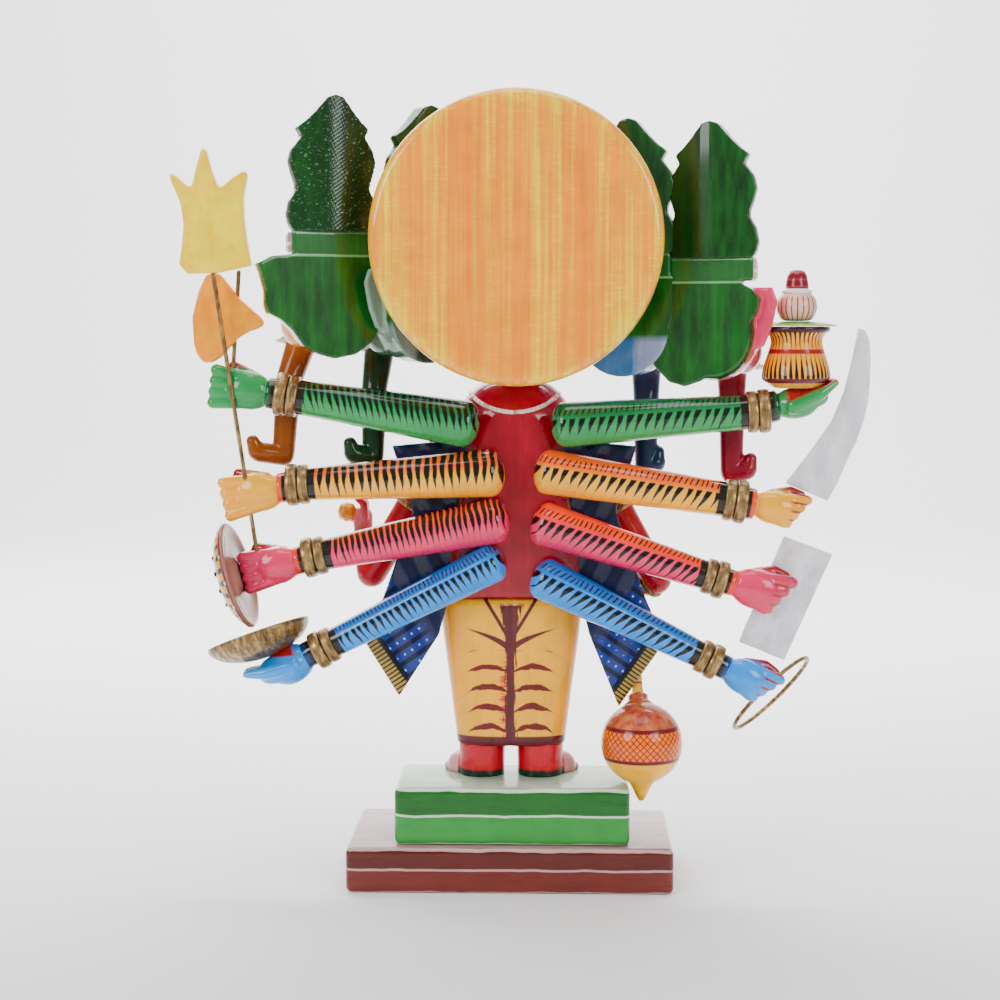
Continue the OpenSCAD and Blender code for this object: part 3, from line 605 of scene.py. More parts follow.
def hand_frame(row):
    """The hand's place in the arm's own frame."""
    _, _, _, _, reach, rise, _, _, hand_rise, *_ = row
    bend = math.radians(hand_rise - rise)
    start = Vector((reach + CUFF * math.cos(bend / 2), 0, CUFF * math.sin(bend / 2)))
    return Matrix.Translation(start) @ Matrix.Rotation(-bend, 4, "Y")


def flat_hand(bm, place, length, half):
    """A broad open hand seen from its back: four tight fingers ending on a slant, and a thumb beyond."""
    ball(bm, place @ Vector((length * 0.40, 0, 0)), (length * 0.44, 4.8, half * 0.92), around=28)
    for i in range(4):
        across = half * (0.72 - 0.48 * i)
        tip = length * (0.93 - 0.09 * i)
        limb(bm, [(place @ Vector((length * 0.3, 0, across * 0.72)), half * 0.30),
                  (place @ Vector((tip - 1.5, 0.3, across)), half * 0.29),
                  (place @ Vector((tip, -0.2, across * 0.98)), half * 0.26)])
    limb(bm, [(place @ Vector((length * 0.3, -3.2, half * 0.6)), 2.4),
              (place @ Vector((length * 0.62, -4.4, half * 0.98)), 2.1),
              (place @ Vector((length * 0.82, -4.2, half * 0.9)), 1.7)])


def fist(bm, place, length, half):
    """A closed hand seen from its back: a broad block with knuckles at its end, fingers curled beyond."""
    ball(bm, place @ Vector((length * 0.34, 0, 0)), (length * 0.4, 5.0, half * 0.86))
    for i in range(4):
        across = half * (0.72 - 0.48 * i)
        limb(bm, [(place @ Vector((length * 0.25, 0.8, across * 0.7)), half * 0.3),
                  (place @ Vector((length * 0.84, 1.0, across)), half * 0.27),
                  (place @ Vector((length * 0.88, -4.0, across)), half * 0.25),
                  (place @ Vector((length * 0.55, -5.6, across * 0.9)), half * 0.24)])
    limb(bm, [(place @ Vector((length * 0.2, -2.0, half * 0.5)), 2.6),
              (place @ Vector((length * 0.62, -4.6, half * 0.98)), 2.0)])


def cupped_hand(bm, place, length, half):
    """A thick hand held palm up, fingers together and tapering to a point that curves up."""
    ball(bm, place @ Vector((length * 0.30, 0, -1.2)), (length * 0.36, 6.6, half * 1.0), around=28)
    ball(bm, place @ Vector((length * 0.52, 0, -0.8)), (length * 0.30, 6.0, half * 0.72), around=28)
    for i in range(4):
        across = 4.8 - 3.2 * i
        limb(bm, [(place @ Vector((length * 0.25, across * 0.9, -1.6)), 3.4),
                  (place @ Vector((length * 0.68, across, -0.2)), 2.6),
                  (place @ Vector((length * 0.95, across * 0.8, 1.8 + 0.3 * (i % 2))), 1.4)])
    limb(bm, [(place @ Vector((length * 0.2, -5.4, 0.8)), 2.4),
              (place @ Vector((length * 0.5, -7.0, 2.6)), 1.8)])


HANDS = {"flat": flat_hand, "fist": fist, "cup": cupped_hand}
ARM_TONES = {
    "green": ("#1c9049", "#0f6a34", "#24984a", "#0c4a22"),
    "yellow": ("#ffb200", "#ff5c00", "#ffa600", "#f05010"),
    "pink": ("#ea2a60", "#ff3c10", "#d42456", "#f03410"),
    "blue": ("#0a90f0", "#0068c0", "#1a9cf4", "#0a3468"),
}


def build_arms():
    for node, row in ARMS.items():
        _, _, _, shoulder_r, reach, _, wrist_r, length, _, half, way = row
        place, hand = arm_frame(row), hand_frame(row)
        bm = bmesh.new()
        ball(bm, (0, 0, 0), (shoulder_r * 0.62, shoulder_r, shoulder_r), around=48)
        rod(bm, (0, 0, 0), (reach, 0, 0), shoulder_r, wrist_r, around=48)
        rod(bm, (reach - 0.5, 0, 0), hand @ Vector((1, 0, 0)), wrist_r, wrist_r * 0.9, around=48)
        HANDS[way](bm, hand, length, half)
        melt(bm, 0.5, 3)
        finish = lacquer(f"{node} enamel", arm_paint(node), stroke=(16, 3, 3), coat=0.8, rough=0.22)
        piece(node + "_carving", bm, finish, [node], place)
        rings = bmesh.new()
        for i, (proud, wide) in enumerate(((1.3, 0.88), (1.7, 1.0))):
            half_w = BANGLE_W * wide / 2
            section = [(wrist_r + proud * across ** 0.4, half_w * -math.copysign(abs(up) ** 0.7, up))
                       for across, up in arc(1, 1, 0, 181, 12)]
            inside = [(wrist_r - 0.4, -half_w), (wrist_r - 0.4, half_w)]
            one = turned([inside[0], *section, inside[1], inside[0]], around=80)
            one.transform(Matrix.Translation((reach + BANGLE_W * (i + 0.6), 0, 0))
                          @ Matrix.Rotation(math.radians(90), 4, "Y"))
            join(rings, one)
        piece(node.replace("arm", "bangles"), rings, PAINTS["bronze"], ["bangles"], place)


def bronze(name, stops, shared=False):
    """Metal paint rubbed to show bright highlights over a dark ground."""
    material = bpy.data.materials.new(name)
    material.use_nodes = True
    tree = material.node_tree
    shader = tree.nodes["Principled BSDF"]
    rub = grain(tree, where(tree, shared)[0], (1.6, 5, 5), detail=5.0, rough=0.65)
    tree.links.new(add(tree, "ValToRGB", [rub], stops=stops), shader.inputs["Base Color"])
    tree.links.new(add(tree, "MapRange", [rub, 0.3, 0.7, 0.5, 0.3]), shader.inputs["Roughness"])
    bump = add(tree, "Bump", {"Strength": 0.6, "Distance": 0.15 * MM, "Height": rub})
    tree.links.new(bump, shader.inputs["Normal"])
    shader.inputs["Metallic"].default_value = 0.75
    shader.inputs["Coat Weight"].default_value = 0.3
    return material


# ---- heads ----

def head_frame(name):
    (x, y, up), turn, *_ = HEADS[name]
    return (Matrix.Translation((FIG_X + x, BODY_Y + y, NECK_Z + up))
            @ Matrix.Rotation(math.radians(turn), 4, "Z"))


# The green back of each outer head, from the middle outwards and up from the crown's foot: the ear's
# point, its nicked lower edge, the rounded chin, and the side towards the middle head
BACKS = {
    "outer_left": [(16, -8.6), (24, -9.4), (29.5, -12.3), (28, -16), (26.3, -22.3), (26.4, -27), (25.5, -30.5),
                   (20.5, -33), (16, -37), (11.6, -43), (5.7, -46), (-0.4, -47.6), (-8.7, -46), (-14.5, -42),
                   (-18.5, -36), (-19.5, -30), (-19, -20), (-16.5, -8.6)],
    "outer_right": [(9, -8.6), (15.3, -11.5), (18.5, -15), (17.4, -20.5), (14.6, -25.0), (13.6, -32.0),
                    (8.0, -33.2), (4.4, -37), (1.6, -42), (-4, -46), (-10, -48), (-16, -46.4), (-21.5, -41),
                    (-25, -35), (-25.5, -28), (-23, -20), (-17, -8.6)],
}


HEAD_TONES = {
    "centre": ("#c00028", "#e0502c", "#8c0a20"),
    "inner_left": ("#7f9a86", "#31583a", "#0f3a1a"),
    "inner_right": ("#1f5f9c", "#8fa6cc", "#1b3a5e"),
    "outer_left": ("#f0c08a", "#ee8c00", "#8a4400"),
    "outer_right": ("#e0305c", "#dc6a70", "#8a0c28"),
}


# Below the halo the inner heads' backs show painted shade near the middle, beside the halo, and a paler painted
# highlight further out
INNER_BACK_SHADE_AND_HIGHLIGHT = {"inner_left": ("#17392a", "#6f8478"), "inner_right": ("#2f6fa5", "#8e9cc0")}


def head_paint(name):
    """Green back with painted highlights along the band's edges and a greyer band as a painted reflection, and a face
    in its own colour, deeper towards the jaw.
    """
    face, jaw, _ = HEAD_TONES[name]

    def paint(tree):
        vector, x, y, z = where(tree)
        depth = add(tree, "Math", [y, waver(tree, vector, 4, 0.5)], operation="ADD")
        down = add(tree, "MapRange", [z, -BAND_H - 22, -BAND_H - HEAD_H], interpolation_type="SMOOTHSTEP")
        front = add(tree, "MixRGB", [down, face, jaw])
        green = blotched(tree, vector, (5, 5, 22), (0.35, 0.7), "#083e0e", "#0e6418")
        # Painted highlight: a pale green line along the board's top edge, just under the band
        green = add(tree, "MixRGB", [stripe(tree, z, -BAND_H - 0.6, 0.55, 0.3), green, "#6aa86c"])
        band = add(tree, "MapRange", [z, -BAND_H - 0.3, -BAND_H + 0.3])
        # Painted reflection: the band's back is a greyer green than the board's
        green = add(tree, "MixRGB", [band, green, "#1c6024"])
        # Painted highlight: a paler green strip along the band's top edge
        edge = add(tree, "MapRange", [z, -1.1, -0.8])
        green = add(tree, "MixRGB", [edge, green, "#5c9a60"])
        if name.startswith("inner"):
            outward = HEADS[name][2]
            # Painted shade near the middle and a painted highlight further out, blended with brush noise
            strokes = add(tree, "Math", [grain(tree, vector, (3, 3, 10)), 5.0, x], operation="MULTIPLY_ADD")
            highlight_share = add(tree, "MapRange", [strokes, 3.5 + 2 * outward, 3.5 + 5 * outward])
            low = add(tree, "MixRGB", [highlight_share, INNER_BACK_SHADE_AND_HIGHLIGHT[name][0], INNER_BACK_SHADE_AND_HIGHLIGHT[name][1]])
            low_back = add(tree, "MapRange", [z, -BAND_H - 22, -BAND_H - 25])
            green = add(tree, "MixRGB", [low_back, green, low])
        hat = add(tree, "MixRGB", [bands(tree, x, 1.3, 0.5), "#e8c020", "#b01c28"])
        hat = add(tree, "MixRGB", [bands(tree, z, 2.4, 0.25), hat, "#f2ede0"])
        front = add(tree, "MixRGB", [band, front, hat])
        return add(tree, "MixRGB", [add(tree, "MapRange", [depth, -3.4, -2.8]), front, green])
    return paint


def build_heads():
    for name, (_, _, big_ear, drop, lean, hook, chin_off) in HEADS.items():
        place = head_frame(name)
        bm = bmesh.new()
        half = HEAD_W / 2
        chin = -BAND_H - HEAD_H
        outline = BACKS.get(name)
        if outline is None:
            outline = [(half - 0.5, -8.6), (half - 0.5, -24)]
            outline += [(chin_off * big_ear + x, chin + half + z) for x, z in arc(half, half, 102, 271, 12)]
            outline += [(-half + 0.5, -24), (-half + 0.5, -8.6)]
        outward = big_ear or 1
        board(bm, [(outward * x, z) for x, z in outline], -5.5, 0)
        soft_box(bm, (HEAD_W - 2.4, BOARD_T, BAND_H + 0.6), (0, -BOARD_T / 2, -BAND_H / 2 + 0.1), 0.6, 2)
        brow_z = chin + HEAD_H * 0.5
        ball(bm, (0, -BOARD_T, brow_z), (half * 0.98, HEAD_D - BOARD_T - 1, HEAD_H * 0.49), around=40)
        for side in (-1, 1):
            board(bm, [(side * x, z) for x, z in ((half - 6, -11), (half + 5, -11), (half + 7, -16),
                                                  (half + 5, -26), (half + 2, -33), (half - 7, -36))], -7, -4.6)
        for side in (-1, 1):
            ball(bm, (side * 6.5, -BOARD_T - 8, brow_z + 9), (8, 9, 8.5), around=28)
            ball(bm, (side * 8, -BOARD_T - 8, brow_z - 7), (7.5, 9, 9), around=28)
        limb(bm, [((0, -BOARD_T - 8, brow_z + 2), 8.5), ((0, -HEAD_D + 0.5, -BAND_H - 16), 7.2)])
        soft_box(bm, (HEAD_W - 3, 6, BAND_H - 0.6), (0, -BOARD_T - 0.6, -BAND_H / 2), 1.5, 3)
        saw_off(bm, (0, 0, 0), (0, 1, 0))
        melt(bm, 0.55, 3)
        piece(f"head_{name}_carving", bm,
              lacquer(f"{name} head enamel", head_paint(name), stroke=(2.5, 2.5, 18), coat=0.85, rough=0.24),
              ["head_" + name], place)
        build_trunk(name, place, drop, lean, hook)
        build_face(name, place, brow_z)


def build_trunk(name, place, drop, lean, hook):
    """A carved trunk that hangs, with a boot-like tip turned to one side and a gold ring round its root."""
    _, root_tone, tip_tone = HEAD_TONES[name]
    bm = bmesh.new()
    front = -HEAD_D
    tip_z = -BAND_H - 26 - drop
    limb(bm, [
        ((0, front + 3, -BAND_H - 14), 6.8), ((0, front - 2.6, -BAND_H - 25), 6.4),
        ((lean * 0.8, front + 1, -BAND_H - 26 - drop * 0.45), 5.0), ((lean, front + 2, tip_z), 4.3)])
    limb(bm, [((lean, front + 2, tip_z - 0.4), 4.1), ((lean + hook * 0.8, front + 1, tip_z + 1), 4.0)])
    limb(bm, [((lean + hook * 0.9, front + 1, tip_z + 1.4), 3.6),
              ((lean + hook * 1.04, front + 1, tip_z + 5.2), 2.6)])
    melt(bm, 0.5, 3)

    def paint(tree):
        z = where(tree)[3]
        down = add(tree, "MapRange", [z, -BAND_H - 24, -BAND_H - 40], interpolation_type="SMOOTHSTEP")
        shade = add(tree, "MixRGB", [down, root_tone, tip_tone])
        return add(tree, "MixRGB", [stripe(tree, z, -BAND_H - 30, 0.9, 0.6), shade, "#e2a02a"])
    piece(f"trunk_{name}_carving", bm, lacquer(f"{name} trunk enamel", paint, stroke=(3, 3, 9)),
          ["trunk_" + name], place)


def build_face(name, place, brow_z):
    """Eyes, tusks and forehead marks of one head."""
    white, dark, tusk = bmesh.new(), bmesh.new(), bmesh.new()
    for side in (-1, 1):
        at = Vector((side * 9.6, -HEAD_D + 6.6, brow_z + 3.2))
        turn = Matrix.Rotation(side * math.radians(28), 4, "Z")
        ball(white, at, (3.2, 1.2, 1.7), turn)
        ball(dark, at + Vector((side * 0.3, -0.75, -0.1)), (1.25, 0.9, 1.25), turn)
        limb(dark, [(at + Vector((-side * 3.4, -0.6, 2.2)), 0.35), (at + Vector((0, -0.2, 3.6)), 0.55),
                    (at + Vector((side * 3.4, 1.6, 2.6)), 0.3)])
        limb(tusk, [((side * 7.6, -HEAD_D + 7, brow_z - 9), 2.0),
                    ((side * 10.2, -HEAD_D - 1, brow_z - 13), 1.6),
                    ((side * 11.6, -HEAD_D - 6, brow_z - 13.4), 0.8)])
    for level in range(3):
        z = brow_z + 8 + level * 2.1
        limb(white, [((-3.6, -HEAD_D + 2.6, z), 0.5), ((0, -HEAD_D + 1.4, z - 0.4), 0.5),
                     ((3.6, -HEAD_D + 2.6, z), 0.5)])
    melt(tusk, 0.4, 3)
    piece(f"eyes_{name}", white, PAINTS["ivory"], (), place)
    piece(f"pupils_{name}", dark, PAINTS["black"], (), place)
    piece(f"tusks_{name}", tusk, PAINTS["ivory"], ["tusks"], place)


CROWN_SIDE = [(0.88, 0.0), (0.95, 0.05), (0.99, 0.12), (0.93, 0.22), (0.80, 0.30), (0.80, 0.34), (0.88, 0.42),
              (0.94, 0.51), (0.88, 0.60), (0.70, 0.685), (0.69, 0.70), (0.77, 0.75), (0.76, 0.765),
              (0.58, 0.815), (0.43, 0.87), (0.16, 0.985)]


def crown_paint(rough_back):
    """Dark green brushed upwards, with painted shade on one side of the ridge; one crown's back is dabbed rough, with
    painted shade on its other side and painted highlights on the tips of its dabs.
    """
    def paint(tree):
        vector, x, y, z = where(tree)
        green = blotched(tree, vector, (3, 3, 16), (0.35, 0.7), "#0a340e", "#10581a", detail=4.0)
        # Painted shade: the +x side of the ridge is mixed halfway to a deep green
        ridge_shade = add(tree, "MapRange", [x, -3, 3, 0.0, 0.5])
        green = add(tree, "MixRGB", [ridge_shade, green, "#0a2c0e"])
        if rough_back:
            dab_highlight_noise = grain(tree, vector, (1.2, 1.2, 0.8), detail=3.0)
            # Painted shade on the rough back's -x side, then painted highlights in pale green on the tips of its dabs
            green = add(tree, "MixRGB", [add(tree, "MapRange", [x, -2, 5]), "#0a2c0e", green])
            green = add(tree, "MixRGB", [add(tree, "MapRange", [dab_highlight_noise, 0.6, 0.72]), green, "#5c9a68"])
        gold = blotched(tree, vector, (5, 5, 5), (0.4, 0.7), "#e2b21e", "#f4d24c")
        gold = add(tree, "MixRGB", [bands(tree, z, 2.6, 0.22), gold, "#b01c28"])
        return add(tree, "MixRGB", [add(tree, "MapRange", [y, -3.2, -2.6]), gold, green])
    return paint


def build_crowns():
    side = [(x * CROWN_HALF, z * CROWN_H) for x, z in CROWN_SIDE]
    outline = side + [(0, CROWN_H)] + [(-x, z) for x, z in reversed(side)]
    ridge = 4.4
    for name in HEADS:
        bm = bmesh.new()
        board(bm, outline, -4, 0)
        melt(bm, 0.5, 2)
        rough_back = name == "outer_left"
        for v in bm.verts:
            if v.co.y > -1.6:
                v.co.y += ridge * (0.5 + 0.5 * math.cos(math.pi * min(1, abs(v.co.x) / (CROWN_HALF + 1))))
                if rough_back:
                    v.co.y += 0.3 * math.sin(v.co.x * 4.1 + v.co.z) * math.sin(v.co.z * 3.3 - v.co.x)
        lumps = bmesh.new()
        for i in range(4):
            z = 7 + i * 11
            limb(lumps, [((-11 + i * 2.2, -3.6, z + 2), 1.3), ((0, -4.4, z - 1.5), 1.6),
                         ((11 - i * 2.2, -3.6, z + 2), 1.3)])
            ball(lumps, (0, -4.8, z + 4.6), (2.6 - i * 0.3, 1.6, 2.6 - i * 0.3))
        join(bm, melt(lumps, 0.5, 2))
        finish = lacquer(f"{name} crown enamel", crown_paint(rough_back), stroke=(2.5, 2.5, 14),
                         depth=0.5 if rough_back else 0.15, coat=0.6)
        piece(f"crown_{name}_carving", bm, finish, ["crown_" + name], head_frame(name))


# ---- halo ----

def halo_paint(tree):
    """Yellow over orange, dragged downwards with a half-dry brush, and paler towards the rim as a painted highlight.
    """
    vector = where(tree)[0]
    wide = grain(tree, vector, (9, 9, 200), detail=2.0, rough=0.5)
    fine = grain(tree, vector, (1.3, 1.3, 70), detail=4.0, rough=0.65)
    skip = grain(tree, vector, (6, 6, 0.9), detail=3.0)
    drag = add(tree, "Math", [wide, fine], operation="ADD")
    drag = add(tree, "Math", [drag, add(tree, "MapRange", [skip, 0.52, 0.75, 0.0, 0.16])], operation="ADD")
    radius = add(tree, "VectorMath", [vector], operation="LENGTH", out=1)
    # Painted highlight: the paint grows paler towards the rounded rim
    rim = add(tree, "MapRange", [radius, 46, 54, 0.0, 0.1], interpolation_type="SMOOTHSTEP")
    drag = add(tree, "Math", [drag, rim], operation="ADD")
    return add(tree, "ValToRGB", [add(tree, "MapRange", [drag, 0.78, 1.3])], stops=[
        (0.0, "#ff8400"), (0.3, "#ff9000"), (0.5, "#ff9e00"), (0.7, "#ffb600"), (1.0, "#ffe000")])


def build_halo():
    centre = middle("halo_disc")
    size = high("halo_disc") - low("halo_disc")
    radius, face = size.x / 2, size.y / 2
    rim = 3.6
    edge = [(radius - rim + out, face - rim + up) for out, up in arc(rim, rim, 0, 91, 9)]
    profile = [(0, face), (radius * 0.3, face), (radius * 0.6, face), *edge,
               *[(r, -z) for r, z in reversed(edge)], (radius * 0.6, -face), (0, -face)]
    bm = turned(profile, around=180)
    bm.transform(Matrix.Rotation(math.radians(-90), 4, "X"))
    piece("halo_board", bm, lacquer("halo enamel", halo_paint, stroke=(1.4, 1.4, 50), depth=0.2, coat=0.9),
          ["halo_disc"], Matrix.Translation(centre))


# ---- garland, front arms and scarves ----

def build_garland(torso):
    """White beads strung close on the chest, and the plain cord that carries them round the nape."""
    body = BVHTree.FromPolygons([v.co / MM for v in torso.data.vertices],
                                [p.vertices for p in torso.data.polygons])
    bm = bmesh.new()
    # Both are found by looking at the body level from this far off
    away = 120
    strand = []
    for i in range(-16, 17):
        t = math.radians(i * 4.6)
        at = Vector((FIG_X + 21 * math.sin(t), away, NECK_Z + 4 - 16 * math.cos(t)))
        hit = body.ray_cast(at, Vector((0, -1, 0)))[0]
        if hit:
            strand.append((hit, 0.85))
    limb(bm, strand)
    radius, bead = 25.5, 1.7
    steps = round(2 * math.pi * radius / (2.1 * bead))
    for i in range(steps):
        t = 2 * math.pi * i / steps
        at = Vector((FIG_X + radius * math.sin(t), -away, NECK_Z + 12 - radius * math.cos(t)))
        if at.z > NECK_Z - 3:
            continue
        hit, normal, _, _ = body.ray_cast(at, Vector((0, 1, 0)))
        if hit and hit.y < BODY_Y:
            squeeze = normal.to_track_quat("Z", "Y").to_matrix().to_4x4()
            ball(bm, hit + normal * bead * 0.4, (bead, bead, bead * 0.8), squeeze, around=12)
    piece("garland_beads", bm, lacquer("shell white enamel", bead_paint, stroke=(2, 2, 2), rough=0.25),
          ["garland"])


def bead_paint(tree):
    """White beads with a blush of pink on some of them."""
    return blotched(tree, where(tree)[0], (4, 4, 4), (0.55, 0.6), "#f2ece0", "#e08a98", detail=1.0)


def front_arm(bm, shoulder, elbow, wrist):
    """An upper arm from the shoulder and a forearm to the wrist."""
    limb(bm, [(shoulder, 8.2), (shoulder.lerp(elbow, 0.35), 7.0), (shoulder.lerp(elbow, 0.7), 6.2),
              (elbow, 6.0)])
    limb(bm, [(elbow, 6.0), (elbow.lerp(wrist, 0.5), 5.4), (wrist, 4.0)])


def arm_ring(bm, start, end, share, inner, proud):
    """A turned ring round the line from start to end."""
    half, sunk = 1.3, inner - 0.6
    profile = [(inner + out, -up) for out, up in arc(proud, half, 0, 181, 20)]
    ring = turned([(sunk, -half), *profile, (sunk, half), (sunk, -half)], around=48)
    turn = (end - start).to_track_quat("Z", "Y").to_matrix().to_4x4()
    ring.transform(Matrix.Translation(start.lerp(end, share)) @ turn)
    join(bm, ring)


def front_arm_paint(palm):
    """Crimson arm that pales to pink at the palm."""
    def paint(tree):
        vector = where(tree)[0]
        gap = add(tree, "VectorMath", [vector, list(palm)], operation="DISTANCE", out=1)
        red = add(tree, "MixRGB", [grain(tree, vector, (12, 12, 20)), "#a80020", "#cc0a2a"])
        return add(tree, "MixRGB", [add(tree, "MapRange", [gap, 8.5, 5.0]), red, "#e0707e"])
    return paint


def build_front_arms():
    hub = Vector((FIG_X, BODY_Y, WAIST_Z))
    rings = bmesh.new()
    # The left hand rests upwards and holds a sweet
    shoulder, elbow = hub + Vector((22, -1, 64)), hub + Vector((56.6, -6, 8))
    palm = hub + Vector((61.6, -16, 28))
    sweet = palm + Vector((5.5, 0, 3))
    bm = bmesh.new()
    wrist = elbow.lerp(palm, 0.78)
    front_arm(bm, shoulder, elbow, wrist)
    limb(bm, [(wrist, 3.6), (palm + Vector((-0.5, 0, 1)), 4.2)])
    for i in range(4):
        side = -3.6 + 2.4 * i
        limb(bm, [(palm + Vector((-1.6, side, 1)), 1.8), (palm + Vector((-1.4, side, 6.4)), 1.5),
                  (palm + Vector((1.6, side, 9.0)), 1.2)])
    limb(bm, [(palm + Vector((1, -4.5, -1)), 1.9), (palm + Vector((5.5, -5.6, 0.6)), 1.5)])
    melt(bm, 0.45, 2)
    piece("front_arm_left_carving", bm, lacquer("front arm enamel left", front_arm_paint(palm), (4, 4, 14)),
          ["front_arm_left"])
    arm_ring(rings, shoulder, elbow, 0.52, 6.4, 1.1)
    arm_ring(rings, elbow, palm, 0.62, 4.6, 1.1)
    bm = bmesh.new()
    bmesh.ops.create_icosphere(bm, subdivisions=5, radius=1)
    for v in bm.verts:
        v.co *= 3.8 + 0.3 * noise.noise(v.co * 3.2) + 0.12 * noise.noise(v.co * 8)
    piece("sweet_ball", bm, lacquer("boiled sugar enamel", sweet_paint, (1.5, 1.5, 1.5), depth=0.3),
          ["sweet"], Matrix.Translation(sweet))
    # The right hand closes round the mace's shaft
    shoulder, elbow = hub + Vector((-22, -1, 64)), hub + Vector((-55.4, -3, 6))
    palm = mace_hand()
    bm = bmesh.new()
    wrist = elbow.lerp(palm, 0.45)
    front_arm(bm, shoulder, elbow, wrist)
    ball(bm, palm + Vector((-0.6, 0.4, 0.6)), (5.0, 5.0, 5.6))
    grip = mace_axis().to_track_quat("Z", "Y").to_matrix().to_4x4()
    fist_at = Matrix.Translation(palm) @ grip
    for i in range(4):
        limb(bm, [(fist_at @ Vector((4.3 * math.cos(t), 4.3 * math.sin(t), -4.2 + 2.8 * i)), 1.5)
                  for t in [math.radians(a) for a in range(-130, 131, 26)]])
    melt(bm, 0.45, 2)
    piece("front_arm_right_carving", bm, lacquer("front arm enamel right", front_arm_paint(palm), (4, 4, 14)),
          ["front_arm_right"])
    arm_ring(rings, shoulder, elbow, 0.52, 6.4, 1.1)
    arm_ring(rings, elbow, palm, 0.2, 5.4, 1.1)
    piece("front_arm_rings", rings, PAINTS["bronze"])


def sweet_paint(tree):
    """Syrup orange with paler crumbs."""
    return blotched(tree, where(tree)[0], (0.9, 0.9, 0.9), (0.45, 0.62), "#ee8a12", "#ffc23c", detail=2.0)


# The scarf's outline on the figure's left, out from the centre line and up from the waist,
# and how far each side's tip strays from it
SCARF_LINE = [(14, 62), (47, 59), (39, 34), (50, 2), (58, -17), (42, -40), (29, -14), (20, 20)]
TIP_SHIFT = {1: (2.6, 1.6), -1: (-1.6, -2.0)}


def scarf_paint(side):
    """Navy enamel with blue stripes, white dots, a dark border and a gold fringe with black threads."""
    (ax, az), (bx, bz) = SCARF_LINE[4], SCARF_LINE[5]
    run = math.hypot(bx - ax, bz - az)
    along = ((bx - ax) / run, (bz - az) / run)
    inward = (along[1], -along[0])

    def paint(tree):
        vector = where(tree)[0]
        corner = add(tree, "VectorMath", [vector, [side * ax, 0, az]], operation="SUBTRACT")
        inside, beside = (
            add(tree, "VectorMath", [corner, [side * way[0], 0, way[1]]], operation="DOT_PRODUCT", out=1)
            for way in (inward, along))
        silk = add(tree, "MixRGB", [bands(tree, beside, 2.6, 0.36), "#1c3488", "#0c1430"])
        shifted = add(tree, "Math", [beside, 2.6], operation="SUBTRACT")
        dots = add(tree, "Math", [bands(tree, shifted, 2.6, 0.16), bands(tree, inside, 1.7, 0.2)],
                   operation="MULTIPLY")
        patchy = add(tree, "MapRange", [grain(tree, vector, (3, 3, 3)), 0.45, 0.52])
        dots = add(tree, "Math", [dots, patchy], operation="MULTIPLY")
        silk = add(tree, "MixRGB", [dots, silk, "#c8cdea"])
        silk = add(tree, "MixRGB", [add(tree, "MapRange", [inside, 21, 24]), silk, "#141d48"])
        silk = add(tree, "MixRGB", [add(tree, "MapRange", [inside, 6.8, 6.4]), silk, "#0e1226"])
        threads = add(tree, "MixRGB", [bands(tree, beside, 0.8, 0.42), "#ad8c30", "#1c180a"])
        return add(tree, "MixRGB", [add(tree, "MapRange", [inside, 4.8, 4.4]), silk, threads])
    return paint


def build_scarves():
    for side, node in ((1, "scarf_left"), (-1, "scarf_right")):
        points = [Vector((x, z)) for x, z in SCARF_LINE]
        points[5] += Vector(TIP_SHIFT[side])
        thick = high(node).y - low(node).y
        bm = bmesh.new()
        board(bm, [(side * p.x, p.y) for p in points], -thick / 2 + 0.5, thick / 2 - 0.5)
        melt(bm, 0.6, 3)
        for v in bm.verts:
            across = side * v.co.x - 0.5 * v.co.z
            v.co.y += 0.5 * math.sin(across * 0.55)
        piece(node + "_board", bm, lacquer(node + " enamel", scarf_paint(side), (3, 3, 14), coat=0.5),
              [node], Matrix.Translation((FIG_X, middle(node).y, WAIST_Z)))


# ---- held things ----

def palm_of(node, along):
    """A point along a back arm's hand."""
    return arm_frame(ARMS[node]) @ hand_frame(ARMS[node]) @ Vector((along, 0, 0))


def cut_board(name, outline, thick, finish, node, at_y, edge=0.8):
    """A flat thing sawn from thin board, with its edges sanded round. Its outline starts from the waist."""
    bm = bmesh.new()
    board(bm, outline, -thick / 2, thick / 2)
    bmesh.ops.recalc_face_normals(bm, faces=bm.faces)
    bmesh.ops.bevel(bm, geom=bm.edges[:], offset=edge, offset_type="OFFSET", affect="EDGES",
                    segments=4, profile=0.5, material=-1)
    piece(name, bm, finish, [node], Matrix.Translation((FIG_X, at_y, WAIST_Z)))


WIRE_R = 0.85


def wire(name, start, end, node):
    """A stiff brass wire with a rounded end, a little uneven along its length."""
    bm = bmesh.new()
    count = max(3, round((end - start).length / 9))
    stations = [start.lerp(end, i / count) for i in range(count + 1)]
    limb(bm, [(at, WIRE_R * (1 + 0.04 * math.sin(i * 2.3))) for i, at in enumerate(stations)])
    melt(bm, 0.22, 2)
    piece(name, bm, PAINTS["bronze"], [node])


def blade_paint(ground, edge):
    """One brushed colour, a little paler where the brush was wet."""
    def paint(tree):
        return blotched(tree, where(tree)[0], (8, 8, 8), (0.4, 0.65), ground, edge)
    return paint


